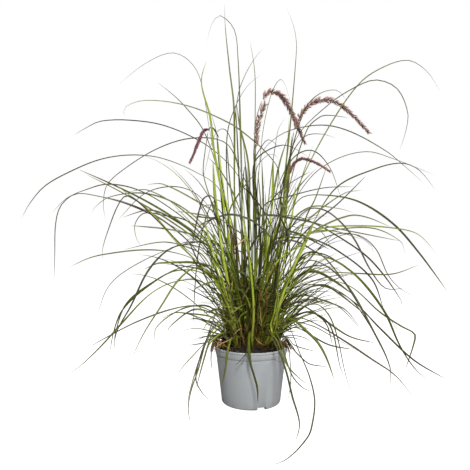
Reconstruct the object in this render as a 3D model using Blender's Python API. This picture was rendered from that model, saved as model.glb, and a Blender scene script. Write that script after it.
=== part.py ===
"""Potted fountain grass clump: a grey nursery pot, its soil, the outer leaves, flower stems and foxtails.

Metres, +Z up. The origin is on the pot's axis, on the surface that the pot stands on. The front is -Y.
"""

import math
from collections import namedtuple

import bmesh
import bpy
from mathutils import Matrix, Vector

CM = 0.01
MM = 0.001

# Pot: a 17 cm, 13 cm tall nursery pot
POT_HEIGHT = 13.0 * CM
RIM_RADIUS = 8.5 * CM
BASE_RADIUS = 6.81 * CM
WALL = 1.6 * MM
BAND_HEIGHT = 17 * MM
BAND_STEP = 1.2 * MM
LIP_HEIGHT = 4.5 * MM
LIP_STEP = 0.6 * MM
STEP_SLOPE = 0.8 * MM  # height over which the wall steps out
RIM_WIDTH = 2.6 * MM
RIM_CHAMFER = 0.6 * MM
CORNER_RADIUS = 4.5 * MM
FOOT_HEIGHT = 7 * MM
FOOT_WIDTH = 6 * MM
FLOOR_THICKNESS = 2 * MM
PAD_RADIUS = 15 * MM
FOOT_DRAFT = 1 * MM  # how far the foot's inner walls lean
POT_SIDES = 56
NOTCH_WIDTH = 20 * MM
NOTCH_COUNT = 3
NOTCH_FIRST = -71.5  # degrees: the one that shows, a little right of the front
HOLE_RADIUS = 5 * MM
HOLE_CIRCLE = 38 * MM
HOLE_COUNT = 6

# Soil
GAP = 0.3 * MM
SOIL_EDGE_HEIGHT = 12.4 * CM
SOIL_MIDDLE_HEIGHT = 12.9 * CM
SOIL_SIDES = 40

# Leaves, stems and spikes
STEPS_PER_SPAN = 24  # how finely the smooth curve between two outline points is measured
LEAF_STATIONS = 14
LEAF_KEEL = 0.55 * MM
LEAF_FOLD = 0.28  # how far the edges stand above the keel, as a share of the half width
ROOT_LIFT = 0.6 * MM
FLOOR_CLEARANCE = 1.4 * MM
STEM_STATIONS = 11
STEM_SIDES = 5
STEM_BASE_RADIUS = 1.7 * MM
STEM_TIP_RADIUS = 0.9 * MM
SPIKE_STATIONS = 9
SPIKE_SIDES = 8

# Where the outlines below were drawn from: centimetres, as they look from this point on the upright plane
# through the pot's axis that faces it.
EYE = Vector((-3.73, -110.0, 38.5))

# One leaf: azimuth of its upright plane in degrees (0 right, 90 back, 180 left, -90 front), distance of
# its root from the axis in cm, greatest width in mm, twist at the tip in degrees, and its outline.
# An outline point is (across, up), or (across, up, depth) where the leaf leaves its plane.
Leaf = namedtuple("Leaf", "azimuth root width twist outline")

LEFT_LEAVES = (
    Leaf(180, 2.6, 6, 55, ((-4.2, 28), (-5, 40), (-7.5, 49.3), (-13, 53.2), (-21, 56.4), (-28, 57.1),
                           (-35, 56.1), (-42, 53.3), (-48, 49.9), (-51.5, 45.9), (-53.5, 42.3))),
    Leaf(187, 0.9, 5, 50, ((-1.4, 40), (-2.5, 51), (-5, 54.8), (-11, 59.8), (-20, 63.9), (-28, 65.2),
                           (-35, 65), (-38.5, 63.4), (-41.5, 61.6))),
    Leaf(166, 1.3, 4, 40, ((-1.8, 35), (-3, 54), (-6, 60), (-14, 61), (-22, 58.5), (-30, 53.5),
                           (-33.6, 50), (-34.4, 45.5), (-33.9, 42))),
    Leaf(195, 3.4, 6, 30, ((-6, 28), (-10, 36.3), (-17, 41.8), (-24, 46.1), (-32, 50.1), (-40.5, 53.9))),
    Leaf(203, 4.1, 6, 65, ((-7, 27), (-12, 36), (-20, 41.5), (-29, 45.7), (-37, 47.8), (-41, 48),
                           (-44.3, 45.3), (-45.5, 41), (-45.7, 34), (-45.9, 27.5))),
    Leaf(213, 4.6, 6, 45, ((-8, 28.5), (-16, 36), (-22, 42), (-27, 46.8), (-29.2, 47.6), (-31, 45.3),
                           (-33, 40.3), (-34.6, 35), (-34.4, 32.3))),
    Leaf(184, 4.9, 5, 50, ((-7, 26), (-12, 32), (-18, 34.4), (-25, 35), (-34, 34), (-38, 33), (-42.5, 30.9))),
    Leaf(163, 2.9, 5, 60, ((-4, 26), (-8, 35.5), (-14, 36.6), (-22, 34), (-30, 29.6), (-33.5, 26),
                           (-35.6, 20.5), (-36, 18.5))),
    Leaf(224, 3.3, 6, 60, ((-5, 26), (-10, 34.5), (-15, 36.2), (-19.5, 34.8), (-24, 30), (-28, 21.8),
                           (-31, 16.5), (-31.8, 13), (-31.3, 10.7))),
    Leaf(150, 4.3, 5, 45, ((-5, 24), (-9, 30.5), (-16, 31), (-24, 26.6), (-30, 21), (-32, 16), (-33, 10.5))),
    Leaf(236, 4.6, 5, 50, ((-5.5, 22), (-9.5, 29.5), (-13, 30.8), (-17, 27.8), (-21, 21.8), (-25, 15.5),
                           (-28.3, 8.7))),
    Leaf(176, 5.2, 6, 40, ((-7, 23), (-12, 27.8), (-18.5, 27.4), (-24, 24.3), (-30, 18), (-35, 12.5),
                           (-40, 7.8))),
    Leaf(198, 5.5, 5, 55, ((-7.5, 19), (-12, 21.9), (-18, 21.3), (-26, 18.5), (-33, 15), (-38, 12.2))),
    Leaf(233, 3.0, 6, 35, ((-3.8, 22), (-5.3, 26.8), (-7.5, 21.5), (-10, 15), (-12.3, 7), (-14, 2),
                           (-14.6, -2), (-13.9, -6.6))),
    Leaf(157, 1.7, 4, 45, ((-3.4, 30), (-6.5, 46), (-9.5, 62), (-12, 75.3), (-15, 79.6), (-19, 80.9),
                           (-25, 78.2), (-31.2, 73.3))),
    Leaf(173, 3.6, 6, 70, ((-3.9, 30), (-3.9, 50), (-4, 68), (-5, 77), (-6, 87), (-6.2, 92.6))),
    Leaf(198, 1.9, 6, 40, ((-2.1, 30), (-2.2, 50), (-2.6, 66), (-3.1, 80), (-4, 86.5), (-7.2, 89.6),
                           (-9.2, 87.5), (-10.3, 83.3))),
    Leaf(209, 2.4, 6, 60, ((-4, 30), (-6.5, 46), (-8.7, 58), (-9.6, 66), (-11.6, 74), (-10.4, 79.2))),
    Leaf(142, 2.5, 5, 50, ((-4, 28), (-7, 40), (-12, 47.5), (-18, 49.8), (-25, 48), (-31, 42))),
)

RIGHT_LEAVES = (
    Leaf(-12, 2.2, 6, 60, ((3.6, 30), (7, 48), (10.6, 61), (18, 68.8), (25, 73.3), (29.3, 74.6),
                           (34, 72.6), (36.5, 67), (36, 62.5), (34.5, 58))),
    Leaf(8, 2.7, 6, 45, ((4.5, 28), (8, 42.5), (12, 52), (18.5, 64.2), (25, 73.5), (30, 77.2),
                         (36.5, 79.2), (41, 76.6), (44.2, 71.7))),
    Leaf(21, 0.8, 5, 45, ((1.1, 36), (2.4, 57), (6.5, 61.6), (12, 63.6), (18, 64), (24, 62.2), (31.5, 58),
                          (35, 55.2), (40.2, 50.6))),
    Leaf(-24, 3.1, 5, 40, ((5, 30), (9, 44), (14, 52), (20, 56.2), (27, 57.9), (33, 56.3), (43, 52.4))),
    Leaf(-38, 3.9, 8, 35, ((6.5, 24), (10, 32), (14.3, 41), (20, 49.6), (29, 53.9), (35, 55.2),
                           (39, 53.7), (43, 49))),
    Leaf(3, 4.0, 6, 50, ((5.2, 26), (7.5, 40), (11.5, 47), (17, 47.8), (25, 46.3), (33, 41.2), (39, 34.5),
                         (46, 25))),
    Leaf(-17, 4.4, 6, 70, ((6, 26), (9, 39.5), (13.5, 44.5), (18, 43.8), (23.5, 38.3), (28, 30),
                           (31.5, 26), (36.5, 26.3))),
    Leaf(-6, 5.0, 6, 50, ((7, 24), (11, 36), (16, 39.8), (25, 40.6), (34, 40), (39, 38.6), (43.5, 33.8))),
    Leaf(33, 1.8, 6, 40, ((2.1, 26), (3.4, 39.5), (6, 42.9), (12, 41.8), (20, 40), (29, 38.2), (35.2, 37))),
    Leaf(-31, 5.1, 5, 60, ((8, 25), (14, 33.5), (20.5, 38.2), (25, 38.4), (29, 35.3), (32, 29), (35, 25.8),
                           (38.3, 24.2))),
    Leaf(-21, 5.6, 7, 50, ((8, 26), (12, 33.3), (17, 33.5), (24, 29.4), (30.8, 21), (34.6, 12.7), (38, 7.5),
                           (41.7, 4.2))),
    Leaf(14, 4.9, 6, 60, ((6.5, 23), (11, 29), (17, 29.8), (25, 29.5), (33, 29.4), (39.5, 31.7))),
    Leaf(10, 5.8, 6, 35, ((8.5, 22), (13, 27.2), (18, 28), (23.5, 26.3), (30, 20.5), (35, 17.2),
                          (38.1, 15.4), (38, 13.5), (35.8, 6.7))),
    Leaf(-2, 6.0, 6, 45, ((8.2, 21), (12, 26.6), (18, 26.2), (24, 22.9), (30, 16.8), (38, 9.3), (46, 4.6))),
    Leaf(-44, 4.9, 6, 50, ((7.5, 26), (13, 32.4), (18, 31), (23, 26), (28.5, 16.2), (32.3, 8), (32.5, 2.6))),
    Leaf(-12, 6.2, 6, 40, ((8.3, 17.6), (11, 19.2), (15, 17.8), (22, 13.6), (28, 9.6), (33.3, 6), (36.8, 2))),
    Leaf(-53, 5.2, 6, 40, ((6.7, 18), (9.5, 18.8), (13, 16), (15.5, 13.5), (17.5, 10), (19.5, 4.5))),
    Leaf(27, 5.5, 5, 50, ((7.5, 19.5), (11.5, 22), (17, 18.7), (23, 14.8), (29, 13.3))),
    Leaf(-62, 3.6, 5, 10, ((4.2, 20, -6.2), (8.2, 18, -8.4), (11.4, 10.8, -9), (13.6, 5.5, -9.5),
                           (14.8, 0.1, -11.5), (14.2, -5.8, -16.5), (13, -9, -21), (8.2, -13.9, -29.4),
                           (3.3, -16.1, -32.6))),
    Leaf(-68, 4.6, 6, 20, ((3.8, 16.5, -7.6), (5.8, 12.9, -9.6), (7.2, 9.8, -11.4), (8.4, 6.1, -14),
                           (9.6, 1, -17.5), (11.3, -5.5, -21.5), (10.2, -10.2, -23.8))),
    Leaf(-86, 4.1, 6, 25, ((-0.2, 16, -6.6), (-0.4, 13, -9.4), (-0.1, 8.9, -10), (0.7, 6.1, -10),
                           (1.5, 2.9, -10), (1.6, -1.1, -9.8))),
    Leaf(-129, 5.0, 5, 20, ((-4.4, 14.6, -6.8), (-5.4, 11.7, -8.6), (-5.9, 8.2, -9), (-6.6, 4.3, -9),
                            (-7, 2.7, -8.8))),
)

# Leaves that lean straight away from or towards that point: (distance from the axis, height) in cm.
BACK_AND_FRONT_LEAVES = (
    Leaf(92, 2.8, 6, 40, ((4, 25), (8, 42), (16, 54), (26, 58), (36, 54), (43, 44), (47, 33))),
    Leaf(70, 3.8, 6, 50, ((5, 24), (8, 38), (14, 47), (24, 50), (33, 44), (39, 33), (43, 14))),
    Leaf(114, 4.2, 6, 45, ((5, 24), (8, 36), (14, 45), (23, 48), (32, 41), (38, 29), (42, 7))),
    Leaf(50, 2.6, 5, 55, ((4, 26), (8, 45), (17, 58), (28, 62), (38, 58), (45, 49))),
    Leaf(81, 5.2, 5, 45, ((7, 21), (11, 28), (17, 31), (25, 26), (31, 16), (35, 5))),
    Leaf(-76, 2.4, 5, 45, ((3.4, 30), (5, 46), (9, 60), (15, 67), (21, 68), (27, 61))),
    Leaf(-108, 3.0, 6, 50, ((4, 28), (6, 42), (10, 53), (17, 59), (24, 57), (30, 48))),
)

# One flower: azimuth of its upright plane, distance of the stem's root from the axis in cm, the stem's
# outline, the spike's outline and its greatest radius in mm.
Flower = namedtuple("Flower", "azimuth root stem spike radius")

FLOWERS = (
    Flower(217, 1.9, ((-4.2, 30), (-7.6, 42), (-9.8, 48), (-11.1, 53), (-10.7, 58), (-10, 62.6)),
           ((-9.9, 63.3), (-11, 62.7), (-12.4, 59.8), (-13.2, 57.7), (-14.2, 55.5)), 4.5),
    Flower(38, 1.3, ((1.1, 30), (0.9, 48), (0.8, 58.5), (1, 63.7), (1.7, 67.4), (2.6, 69.9)),
           ((2.75, 70.3), (3.8, 71.6), (5.1, 71.8), (6.5, 71.3), (7.9, 69.8), (10.3, 65.2), (12.5, 59.8)),
           6.5),
    Flower(16, 1.9, ((3.6, 28), (6.6, 42), (8.5, 51), (9.3, 58), (10, 62.8)),
           ((10.1, 63.3), (12.1, 67.2), (15.5, 69.8), (19.6, 69.5), (23.3, 66.8), (27, 62.7)), 6.5),
    Flower(-30, 1.2, ((3, 28), (6, 40), (8.2, 47), (8.8, 52)),
           ((8.9, 52.6), (9.9, 54.9), (11.8, 56.2), (15.1, 55.3), (18.4, 53.3)), 4.5),
    Flower(-38, 0.5, ((0.8, 30), (0.9, 45), (0.9, 52), (1.1, 59.4)),
           ((1.15, 60), (1.4, 62.9), (1.9, 65.5), (2.5, 67.4), (3.4, 69.1)), 5.5),
)

COLOURS = {
    "pot": ((0.38, 0.40, 0.41), 0.45),
    "soil": ((0.035, 0.022, 0.015), 0.95),
    "leaf": ((0.12, 0.19, 0.03), 0.5),
    "stem": ((0.22, 0.28, 0.05), 0.5),
    "spike": ((0.13, 0.055, 0.06), 0.8),
}


def material(name):
    """The Principled material of that name, made once."""
    found = bpy.data.materials.get(name)
    if found:
        return found
    colour, roughness = COLOURS[name]
    made = bpy.data.materials.new(name)
    made.use_nodes = True
    shader = made.node_tree.nodes["Principled BSDF"]
    shader.inputs["Base Color"].default_value = (*colour, 1)
    shader.inputs["Roughness"].default_value = roughness
    shader.inputs["Metallic"].default_value = 0
    return made


def add_object(name, bm, material_name):
    """Makes a named object of a bmesh, with its faces pointing out, shaded smooth."""
    bmesh.ops.recalc_face_normals(bm, faces=bm.faces)
    mesh = bpy.data.meshes.new(name)
    bm.to_mesh(mesh)
    bm.free()
    mesh.shade_smooth()
    mesh.set_sharp_from_angle(angle=math.radians(35))
    mesh.materials.append(material(material_name))
    made = bpy.data.objects.new(name, mesh)
    bpy.context.scene.collection.objects.link(made)
    return made


def turned(profile, sides):
    """A bmesh of revolution about Z from (radius, height) points; the first and the last are on the axis."""
    bm = bmesh.new()
    line = [bm.verts.new((radius, 0, height)) for radius, height in profile]
    edges = [bm.edges.new(pair) for pair in zip(line, line[1:])]
    bmesh.ops.spin(bm, geom=line + edges, cent=(0, 0, 0), axis=(0, 0, 1), angle=math.tau, steps=sides,
                   use_merge=True)
    bmesh.ops.remove_doubles(bm, verts=bm.verts, dist=0.01 * MM)
    return bm


def wall_radius(height):
    """Outer radius of the tapered wall at a height, before the band's step."""
    share = height / POT_HEIGHT
    return BASE_RADIUS + share * (RIM_RADIUS - BAND_STEP - LIP_STEP - BASE_RADIUS)


def pot_profile():
    """The pot's outline from the axis underneath, up the outside, and down the inside to the axis."""
    foot_outer = BASE_RADIUS - CORNER_RADIUS
    corner = [(foot_outer + CORNER_RADIUS * math.sin(a), CORNER_RADIUS * (1 - math.cos(a)))
              for a in (math.radians(d) for d in (0, 30, 60, 90))]
    foot_inner = foot_outer - FOOT_WIDTH
    band_low = POT_HEIGHT - BAND_HEIGHT
    lip_low = POT_HEIGHT - LIP_HEIGHT
    floor_top = FOOT_HEIGHT + FLOOR_THICKNESS
    band_low_radius = wall_radius(band_low) + BAND_STEP
    band_high_radius = RIM_RADIUS - LIP_STEP
    return [
        (0, 0), (PAD_RADIUS, 0), (PAD_RADIUS + FOOT_DRAFT, FOOT_HEIGHT),
        (foot_inner - FOOT_DRAFT, FOOT_HEIGHT), (foot_inner, 0), *corner,
        (wall_radius(band_low), band_low), (band_low_radius, band_low + STEP_SLOPE),
        (band_high_radius, lip_low - STEP_SLOPE / 2), (RIM_RADIUS, lip_low + STEP_SLOPE / 2),
        (RIM_RADIUS, POT_HEIGHT - RIM_CHAMFER), (RIM_RADIUS - RIM_CHAMFER, POT_HEIGHT),
        (RIM_RADIUS - RIM_WIDTH + RIM_CHAMFER, POT_HEIGHT),
        (RIM_RADIUS - RIM_WIDTH, POT_HEIGHT - RIM_CHAMFER),
        (wall_radius(floor_top) - WALL, floor_top), (0, floor_top),
    ]


def add_cutter(name, bm, target):
    """A wire cutter, and the Boolean on the target that takes it away."""
    cutter = add_object(name, bm, "pot")
    cutter.hide_render = True
    cutter.display_type = "WIRE"
    cut = target.modifiers.new(name, "BOOLEAN")
    cut.operation = "DIFFERENCE"
    cut.object = cutter


def add_pot():
    """The moulded pot, with notches in its foot ring and drainage holes in its raised floor."""
    pot = add_object("pot", turned(pot_profile(), POT_SIDES), "pot")
    for number in range(NOTCH_COUNT):
        bm = bmesh.new()
        bmesh.ops.create_cube(bm, size=1)
        size = Matrix.Diagonal((4 * FOOT_WIDTH, NOTCH_WIDTH, 2 * FOOT_HEIGHT - 1 * MM, 1))
        turn = Matrix.Rotation(math.radians(NOTCH_FIRST + 360 * number / NOTCH_COUNT), 4, "Z")
        bmesh.ops.transform(bm, verts=bm.verts, matrix=turn @ Matrix.Translation((BASE_RADIUS, 0, 0)) @ size)
        add_cutter(f"notch_cutter_{number + 1}", bm, pot)
    bm = bmesh.new()
    for number in range(HOLE_COUNT):
        turn = Matrix.Rotation(math.tau * (number + 0.5) / HOLE_COUNT, 4, "Z")
        bmesh.ops.create_cone(bm, cap_ends=True, segments=16, radius1=HOLE_RADIUS, radius2=HOLE_RADIUS,
                              depth=4 * FLOOR_THICKNESS,
                              matrix=turn @ Matrix.Translation((HOLE_CIRCLE, 0, FOOT_HEIGHT)))
    add_cutter("drain_cutter", bm, pot)
    return pot


def soil_height(radius):
    """Height of the mounded surface at a distance from the axis."""
    share = min(radius / (RIM_RADIUS - RIM_WIDTH), 1)
    return SOIL_MIDDLE_HEIGHT - (SOIL_MIDDLE_HEIGHT - SOIL_EDGE_HEIGHT) * share ** 2


def add_soil():
    """The soil and roots that fill the pot, a hair clear of its wall."""
    floor_top = FOOT_HEIGHT + FLOOR_THICKNESS + GAP
    low_radius = wall_radius(floor_top) - WALL - 2 * GAP
    rim_inner = RIM_RADIUS - RIM_WIDTH
    share = (SOIL_EDGE_HEIGHT - floor_top) / (POT_HEIGHT - RIM_CHAMFER - floor_top)
    high_radius = low_radius + share * (rim_inner - 2 * GAP - low_radius)
    profile = [(0, floor_top), (low_radius, floor_top), (high_radius, soil_height(high_radius))]
    profile += [(high_radius * part, soil_height(high_radius * part)) for part in (0.7, 0.35)]
    profile.append((0, soil_height(0)))
    return add_object("potting_soil", turned(profile, SOIL_SIDES), "soil")


def root_of(azimuth, distance):
    """The root's place on the soil, in centimetres."""
    angle = math.radians(azimuth)
    height = (soil_height(distance * CM) + ROOT_LIFT) / CM
    return Vector((distance * math.cos(angle), distance * math.sin(angle), height))


def placed(point, azimuth, root):
    """The real point, in centimetres, of an outline point as EYE sees it."""
    across, up = point[:2]
    angle = math.radians(azimuth)
    if len(point) == 3:
        reach = (point[2] - EYE.y) / -EYE.y
    else:
        normal = Vector((math.sin(angle), -math.cos(angle), 0))
        sight = Vector((across - EYE.x, -EYE.y, up - EYE.z))
        reach = (root - EYE).dot(normal) / sight.dot(normal)
    real = EYE + reach * Vector((across - EYE.x, -EYE.y, up - EYE.z))
    real.z = max(real.z, FLOOR_CLEARANCE / CM)
    return real


def in_plane(point, azimuth):
    """The real point, in centimetres, of a (distance, height) point."""
    angle = math.radians(azimuth)
    return Vector((point[0] * math.cos(angle), point[0] * math.sin(angle), point[1]))


def spline(points, t):
    """A point on the smooth curve through the points; t runs from 0 to the number of spans."""
    span = min(int(t), len(points) - 2)
    share = t - span
    before = points[span - 1] if span else 2 * points[0] - points[1]
    start, end = points[span], points[span + 1]
    after = points[span + 2] if span + 2 < len(points) else 2 * end - start
    chord = (end - start).length
    slope_in = (end - before) * chord / ((start - before).length + chord)
    slope_out = (after - start) * chord / ((after - end).length + chord)
    a, b = share ** 3, share ** 2
    from_start = (2 * a - 3 * b + 1) * start + (a - 2 * b + share) * slope_in
    return from_start + (3 * b - 2 * a) * end + (a - b) * slope_out


def evenly(points, stations):
    """Points at equal steps along the smooth curve, from its start to its end, in metres."""
    fine = STEPS_PER_SPAN * (len(points) - 1)
    line = [spline(points, (len(points) - 1) * i / fine) * CM for i in range(fine + 1)]
    lengths = [0.0]
    for start, end in zip(line, line[1:]):
        lengths.append(lengths[-1] + (end - start).length)
    chosen, i = [], 0
    for station in range(stations + 1):
        target = lengths[-1] * station / stations
        while i < fine - 1 and lengths[i + 1] < target:
            i += 1
        share = (target - lengths[i]) / max(lengths[i + 1] - lengths[i], 1e-9)
        chosen.append(line[i].lerp(line[i + 1], min(share, 1)))
    return chosen


def tangents(line):
    """The direction of the line at each of its points."""
    ends = [line[0], *line, line[-1]]
    return [(after - before).normalized() for before, after in zip(ends, ends[2:])]


def lofted(rings, tip):
    """A closed bmesh through rings of points, with a flat first end and a pointed or flat last end."""
    bm = bmesh.new()
    loops = [[bm.verts.new(point) for point in ring] for ring in rings]
    count = len(loops[0])
    for low, high in zip(loops, loops[1:]):
        for i in range(count):
            j = (i + 1) % count
            # every second diagonal leans the other way, so that a thin blade's two sides stay parallel
            if i % 2 == 0:
                halves = (low[i], low[j], high[j]), (low[i], high[j], high[i])
            else:
                halves = (low[i], low[j], high[i]), (low[j], high[j], high[i])
            for half in halves:
                bm.faces.new(half)
    bm.faces.new(reversed(loops[0]))
    if tip is None:
        bm.faces.new(loops[-1])
    else:
        point = bm.verts.new(tip)
        for i in range(count):
            bm.faces.new((loops[-1][i], loops[-1][(i + 1) % count], point))
    return bm


def blade_width(share):
    """Width along the leaf as a share of the greatest: a narrow sheath, a long blade and a fine tip."""
    sheath = 0.62 + 0.38 * min(share / 0.3, 1)
    return sheath * max(1 - share ** 2.6, 0) ** 0.8


def add_leaf(name, points, leaf):
    """One leaf: a folded blade that twists towards its tip."""
    line = evenly(points, LEAF_STATIONS)
    angle = math.radians(leaf.azimuth)
    across = Vector((-math.sin(angle), math.cos(angle), 0))
    rings = []
    for station, (point, along) in enumerate(zip(line[:-1], tangents(line))):
        share = station / LEAF_STATIONS
        flat = (across - across.dot(along) * along).normalized()
        side = Matrix.Rotation(math.radians(leaf.twist) * share, 3, along) @ flat
        up = along.cross(side)
        half = 0.5 * leaf.width * MM * blade_width(share)
        keel = 0.5 * LEAF_KEEL * (1 - 0.6 * share)
        edge = LEAF_FOLD * half * up
        rings.append((point + half * side + edge, point + keel * up, point - half * side + edge,
                      point - keel * up))
    return add_object(name, lofted(rings, line[-1]), "leaf")


def round_rings(line, radii, sides):
    """Rings of points round a line, one for each radius."""
    rings = []
    for point, along, radius in zip(line, tangents(line), radii):
        side = along.orthogonal().normalized()
        other = along.cross(side)
        turns = [math.tau * i / sides for i in range(sides)]
        rings.append([point + radius * (math.cos(a) * side + math.sin(a) * other) for a in turns])
    return rings


def spike_radius(share):
    """Radius along a foxtail as a share of the greatest."""
    return 0.3 + 0.7 * math.sin(math.pi * min(0.12 + 0.8 * share, 1)) ** 0.6


def add_flower(number, flower):
    """One flower stem and the foxtail at its end."""
    root = root_of(flower.azimuth, flower.root)
    stem = [root] + [placed(point, flower.azimuth, root) for point in flower.stem]
    line = evenly(stem, STEM_STATIONS)
    radii = [STEM_BASE_RADIUS + (STEM_TIP_RADIUS - STEM_BASE_RADIUS) * i / STEM_STATIONS
             for i in range(STEM_STATIONS + 1)]
    add_object(f"flower_stem_{number}", lofted(round_rings(line, radii, STEM_SIDES), None), "stem")
    line = evenly([placed(point, flower.azimuth, root) for point in flower.spike], SPIKE_STATIONS)
    radii = [flower.radius * MM * spike_radius(i / SPIKE_STATIONS) for i in range(SPIKE_STATIONS)]
    spike = lofted(round_rings(line[:-1], radii, SPIKE_SIDES), line[-1])
    add_object(f"flower_spike_{number}", spike, "spike")


def main():
    for old in list(bpy.data.objects):
        bpy.data.objects.remove(old)
    add_pot()
    add_soil()
    leaves = []
    for leaf in LEFT_LEAVES + RIGHT_LEAVES:
        root = root_of(leaf.azimuth, leaf.root)
        leaves.append((leaf, [root] + [placed(point, leaf.azimuth, root) for point in leaf.outline]))
    for leaf in BACK_AND_FRONT_LEAVES:
        root = root_of(leaf.azimuth, leaf.root)
        leaves.append((leaf, [root] + [in_plane(point, leaf.azimuth) for point in leaf.outline]))
    for number, (leaf, points) in enumerate(leaves, 1):
        add_leaf(f"leaf_{number:02d}", points, leaf)
    for number, flower in enumerate(FLOWERS, 1):
        add_flower(number, flower)


main()
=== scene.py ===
"""Looks of the potted fountain grass clump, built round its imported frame.

Metres, +Z up, the front is -Y, and the origin is on the pot's axis at the surface that it stands on.
Outlines of leaves and flowers are in centimetres, as they look from EYE on the upright plane through the
pot's axis that faces it.
"""

import logging
import math
from dataclasses import dataclass, field
from enum import Enum

import bpy
import numpy as np
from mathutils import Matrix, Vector

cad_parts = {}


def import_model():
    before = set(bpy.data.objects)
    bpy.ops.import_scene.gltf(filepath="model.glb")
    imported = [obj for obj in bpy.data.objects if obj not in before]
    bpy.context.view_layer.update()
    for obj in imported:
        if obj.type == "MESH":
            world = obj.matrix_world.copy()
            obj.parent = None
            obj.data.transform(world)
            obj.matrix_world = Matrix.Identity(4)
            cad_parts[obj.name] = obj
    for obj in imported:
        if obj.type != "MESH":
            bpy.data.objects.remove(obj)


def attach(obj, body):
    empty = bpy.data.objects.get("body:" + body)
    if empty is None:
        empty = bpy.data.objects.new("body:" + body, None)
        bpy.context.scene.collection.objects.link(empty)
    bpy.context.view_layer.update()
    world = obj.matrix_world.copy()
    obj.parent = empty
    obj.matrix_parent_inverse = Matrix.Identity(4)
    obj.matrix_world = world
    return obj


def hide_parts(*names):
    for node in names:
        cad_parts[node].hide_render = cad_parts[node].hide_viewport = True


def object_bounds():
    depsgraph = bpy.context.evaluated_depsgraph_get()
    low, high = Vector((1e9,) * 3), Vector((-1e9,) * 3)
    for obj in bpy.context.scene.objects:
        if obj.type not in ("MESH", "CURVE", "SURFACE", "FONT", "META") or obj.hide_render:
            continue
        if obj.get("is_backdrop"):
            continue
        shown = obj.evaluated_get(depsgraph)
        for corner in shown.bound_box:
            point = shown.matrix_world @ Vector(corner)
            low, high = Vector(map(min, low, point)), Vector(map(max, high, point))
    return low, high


LOG = logging.getLogger("fountain_grass")
BODY = "root"
SEED = 20417

CM = 0.01
MM = 0.001
EYE = np.array((-3.73, -110.0, 38.5))  # centimetres
FOCAL_LENGTH = 36.17
SENSOR_WIDTH = 36.0
FAR_CLIP = 60.0
AIM = (0.0, 0.0, 0.35)
GOLDEN_ANGLE = math.radians(137.508)
LEVEL_BACK = np.array([[0.0, 1.0, 0.0]])

# The pot and the soil, as the frame has them
POT_HEIGHT = 13.0 * CM
RIM_RADIUS = 8.5 * CM
BASE_RADIUS = 6.81 * CM
SOIL_EDGE_HEIGHT = 12.4 * CM
SOIL_MIDDLE_HEIGHT = 12.9 * CM

# How leaves start, and how near they come to the floor and to the box
ROOT_LIFT = 0.6 * MM
STEM_HEIGHT = 20  # centimetres
LOW_LEAF_HEIGHT = 25  # centimetres
FLOOR_CLEARANCE = 2.2 * MM
BOX_ROOM = 0.4  # centimetres

# The depth of roots drawn at random before the pot's axis, as a part of what was drawn
FRONT_DEPTH = 0.45

# Where leaves drawn at random would touch the pot's rim or the soil
RIM_INSIDE = 7.9 * CM
RIM_OUTSIDE = 8.9 * CM
ABOVE_RIM = 13.6 * CM
ABOVE_SOIL = 12.7 * CM

# The values that every strand's mesh carries, and what "along" is where a blade leaves its sheath
MESH_VALUES = ("along", "cross", "shade")
BLADE_START = 0.4

Rgb = tuple[float, float, float]
Stops = tuple[tuple[float, Rgb], ...]


def screen(red: float, green: float, blue: float) -> Rgb:
    """A screen colour, 0 to 255 each, as linear values."""
    return tuple((value / 255) ** 2.2 for value in (red, green, blue))


def stops(*entries: tuple[float, float, float, float]) -> Stops:
    """A ramp's stops from (place, red, green, blue) entries, the colours 0 to 255."""
    return tuple((place, screen(*colour)) for place, *colour in entries)


class Tone(Enum):
    """What a strand of the plant is coloured like."""

    LIME = "lime"
    GREEN = "green"
    OLIVE = "olive"
    DARK = "dark"
    PURPLE = "purple"
    STRAW = "straw"
    BROWN = "brown"


LIME, GREEN, OLIVE, DARK, PURPLE, STRAW, BROWN = Tone


# ---------------------------------------------------------------- node trees


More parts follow.
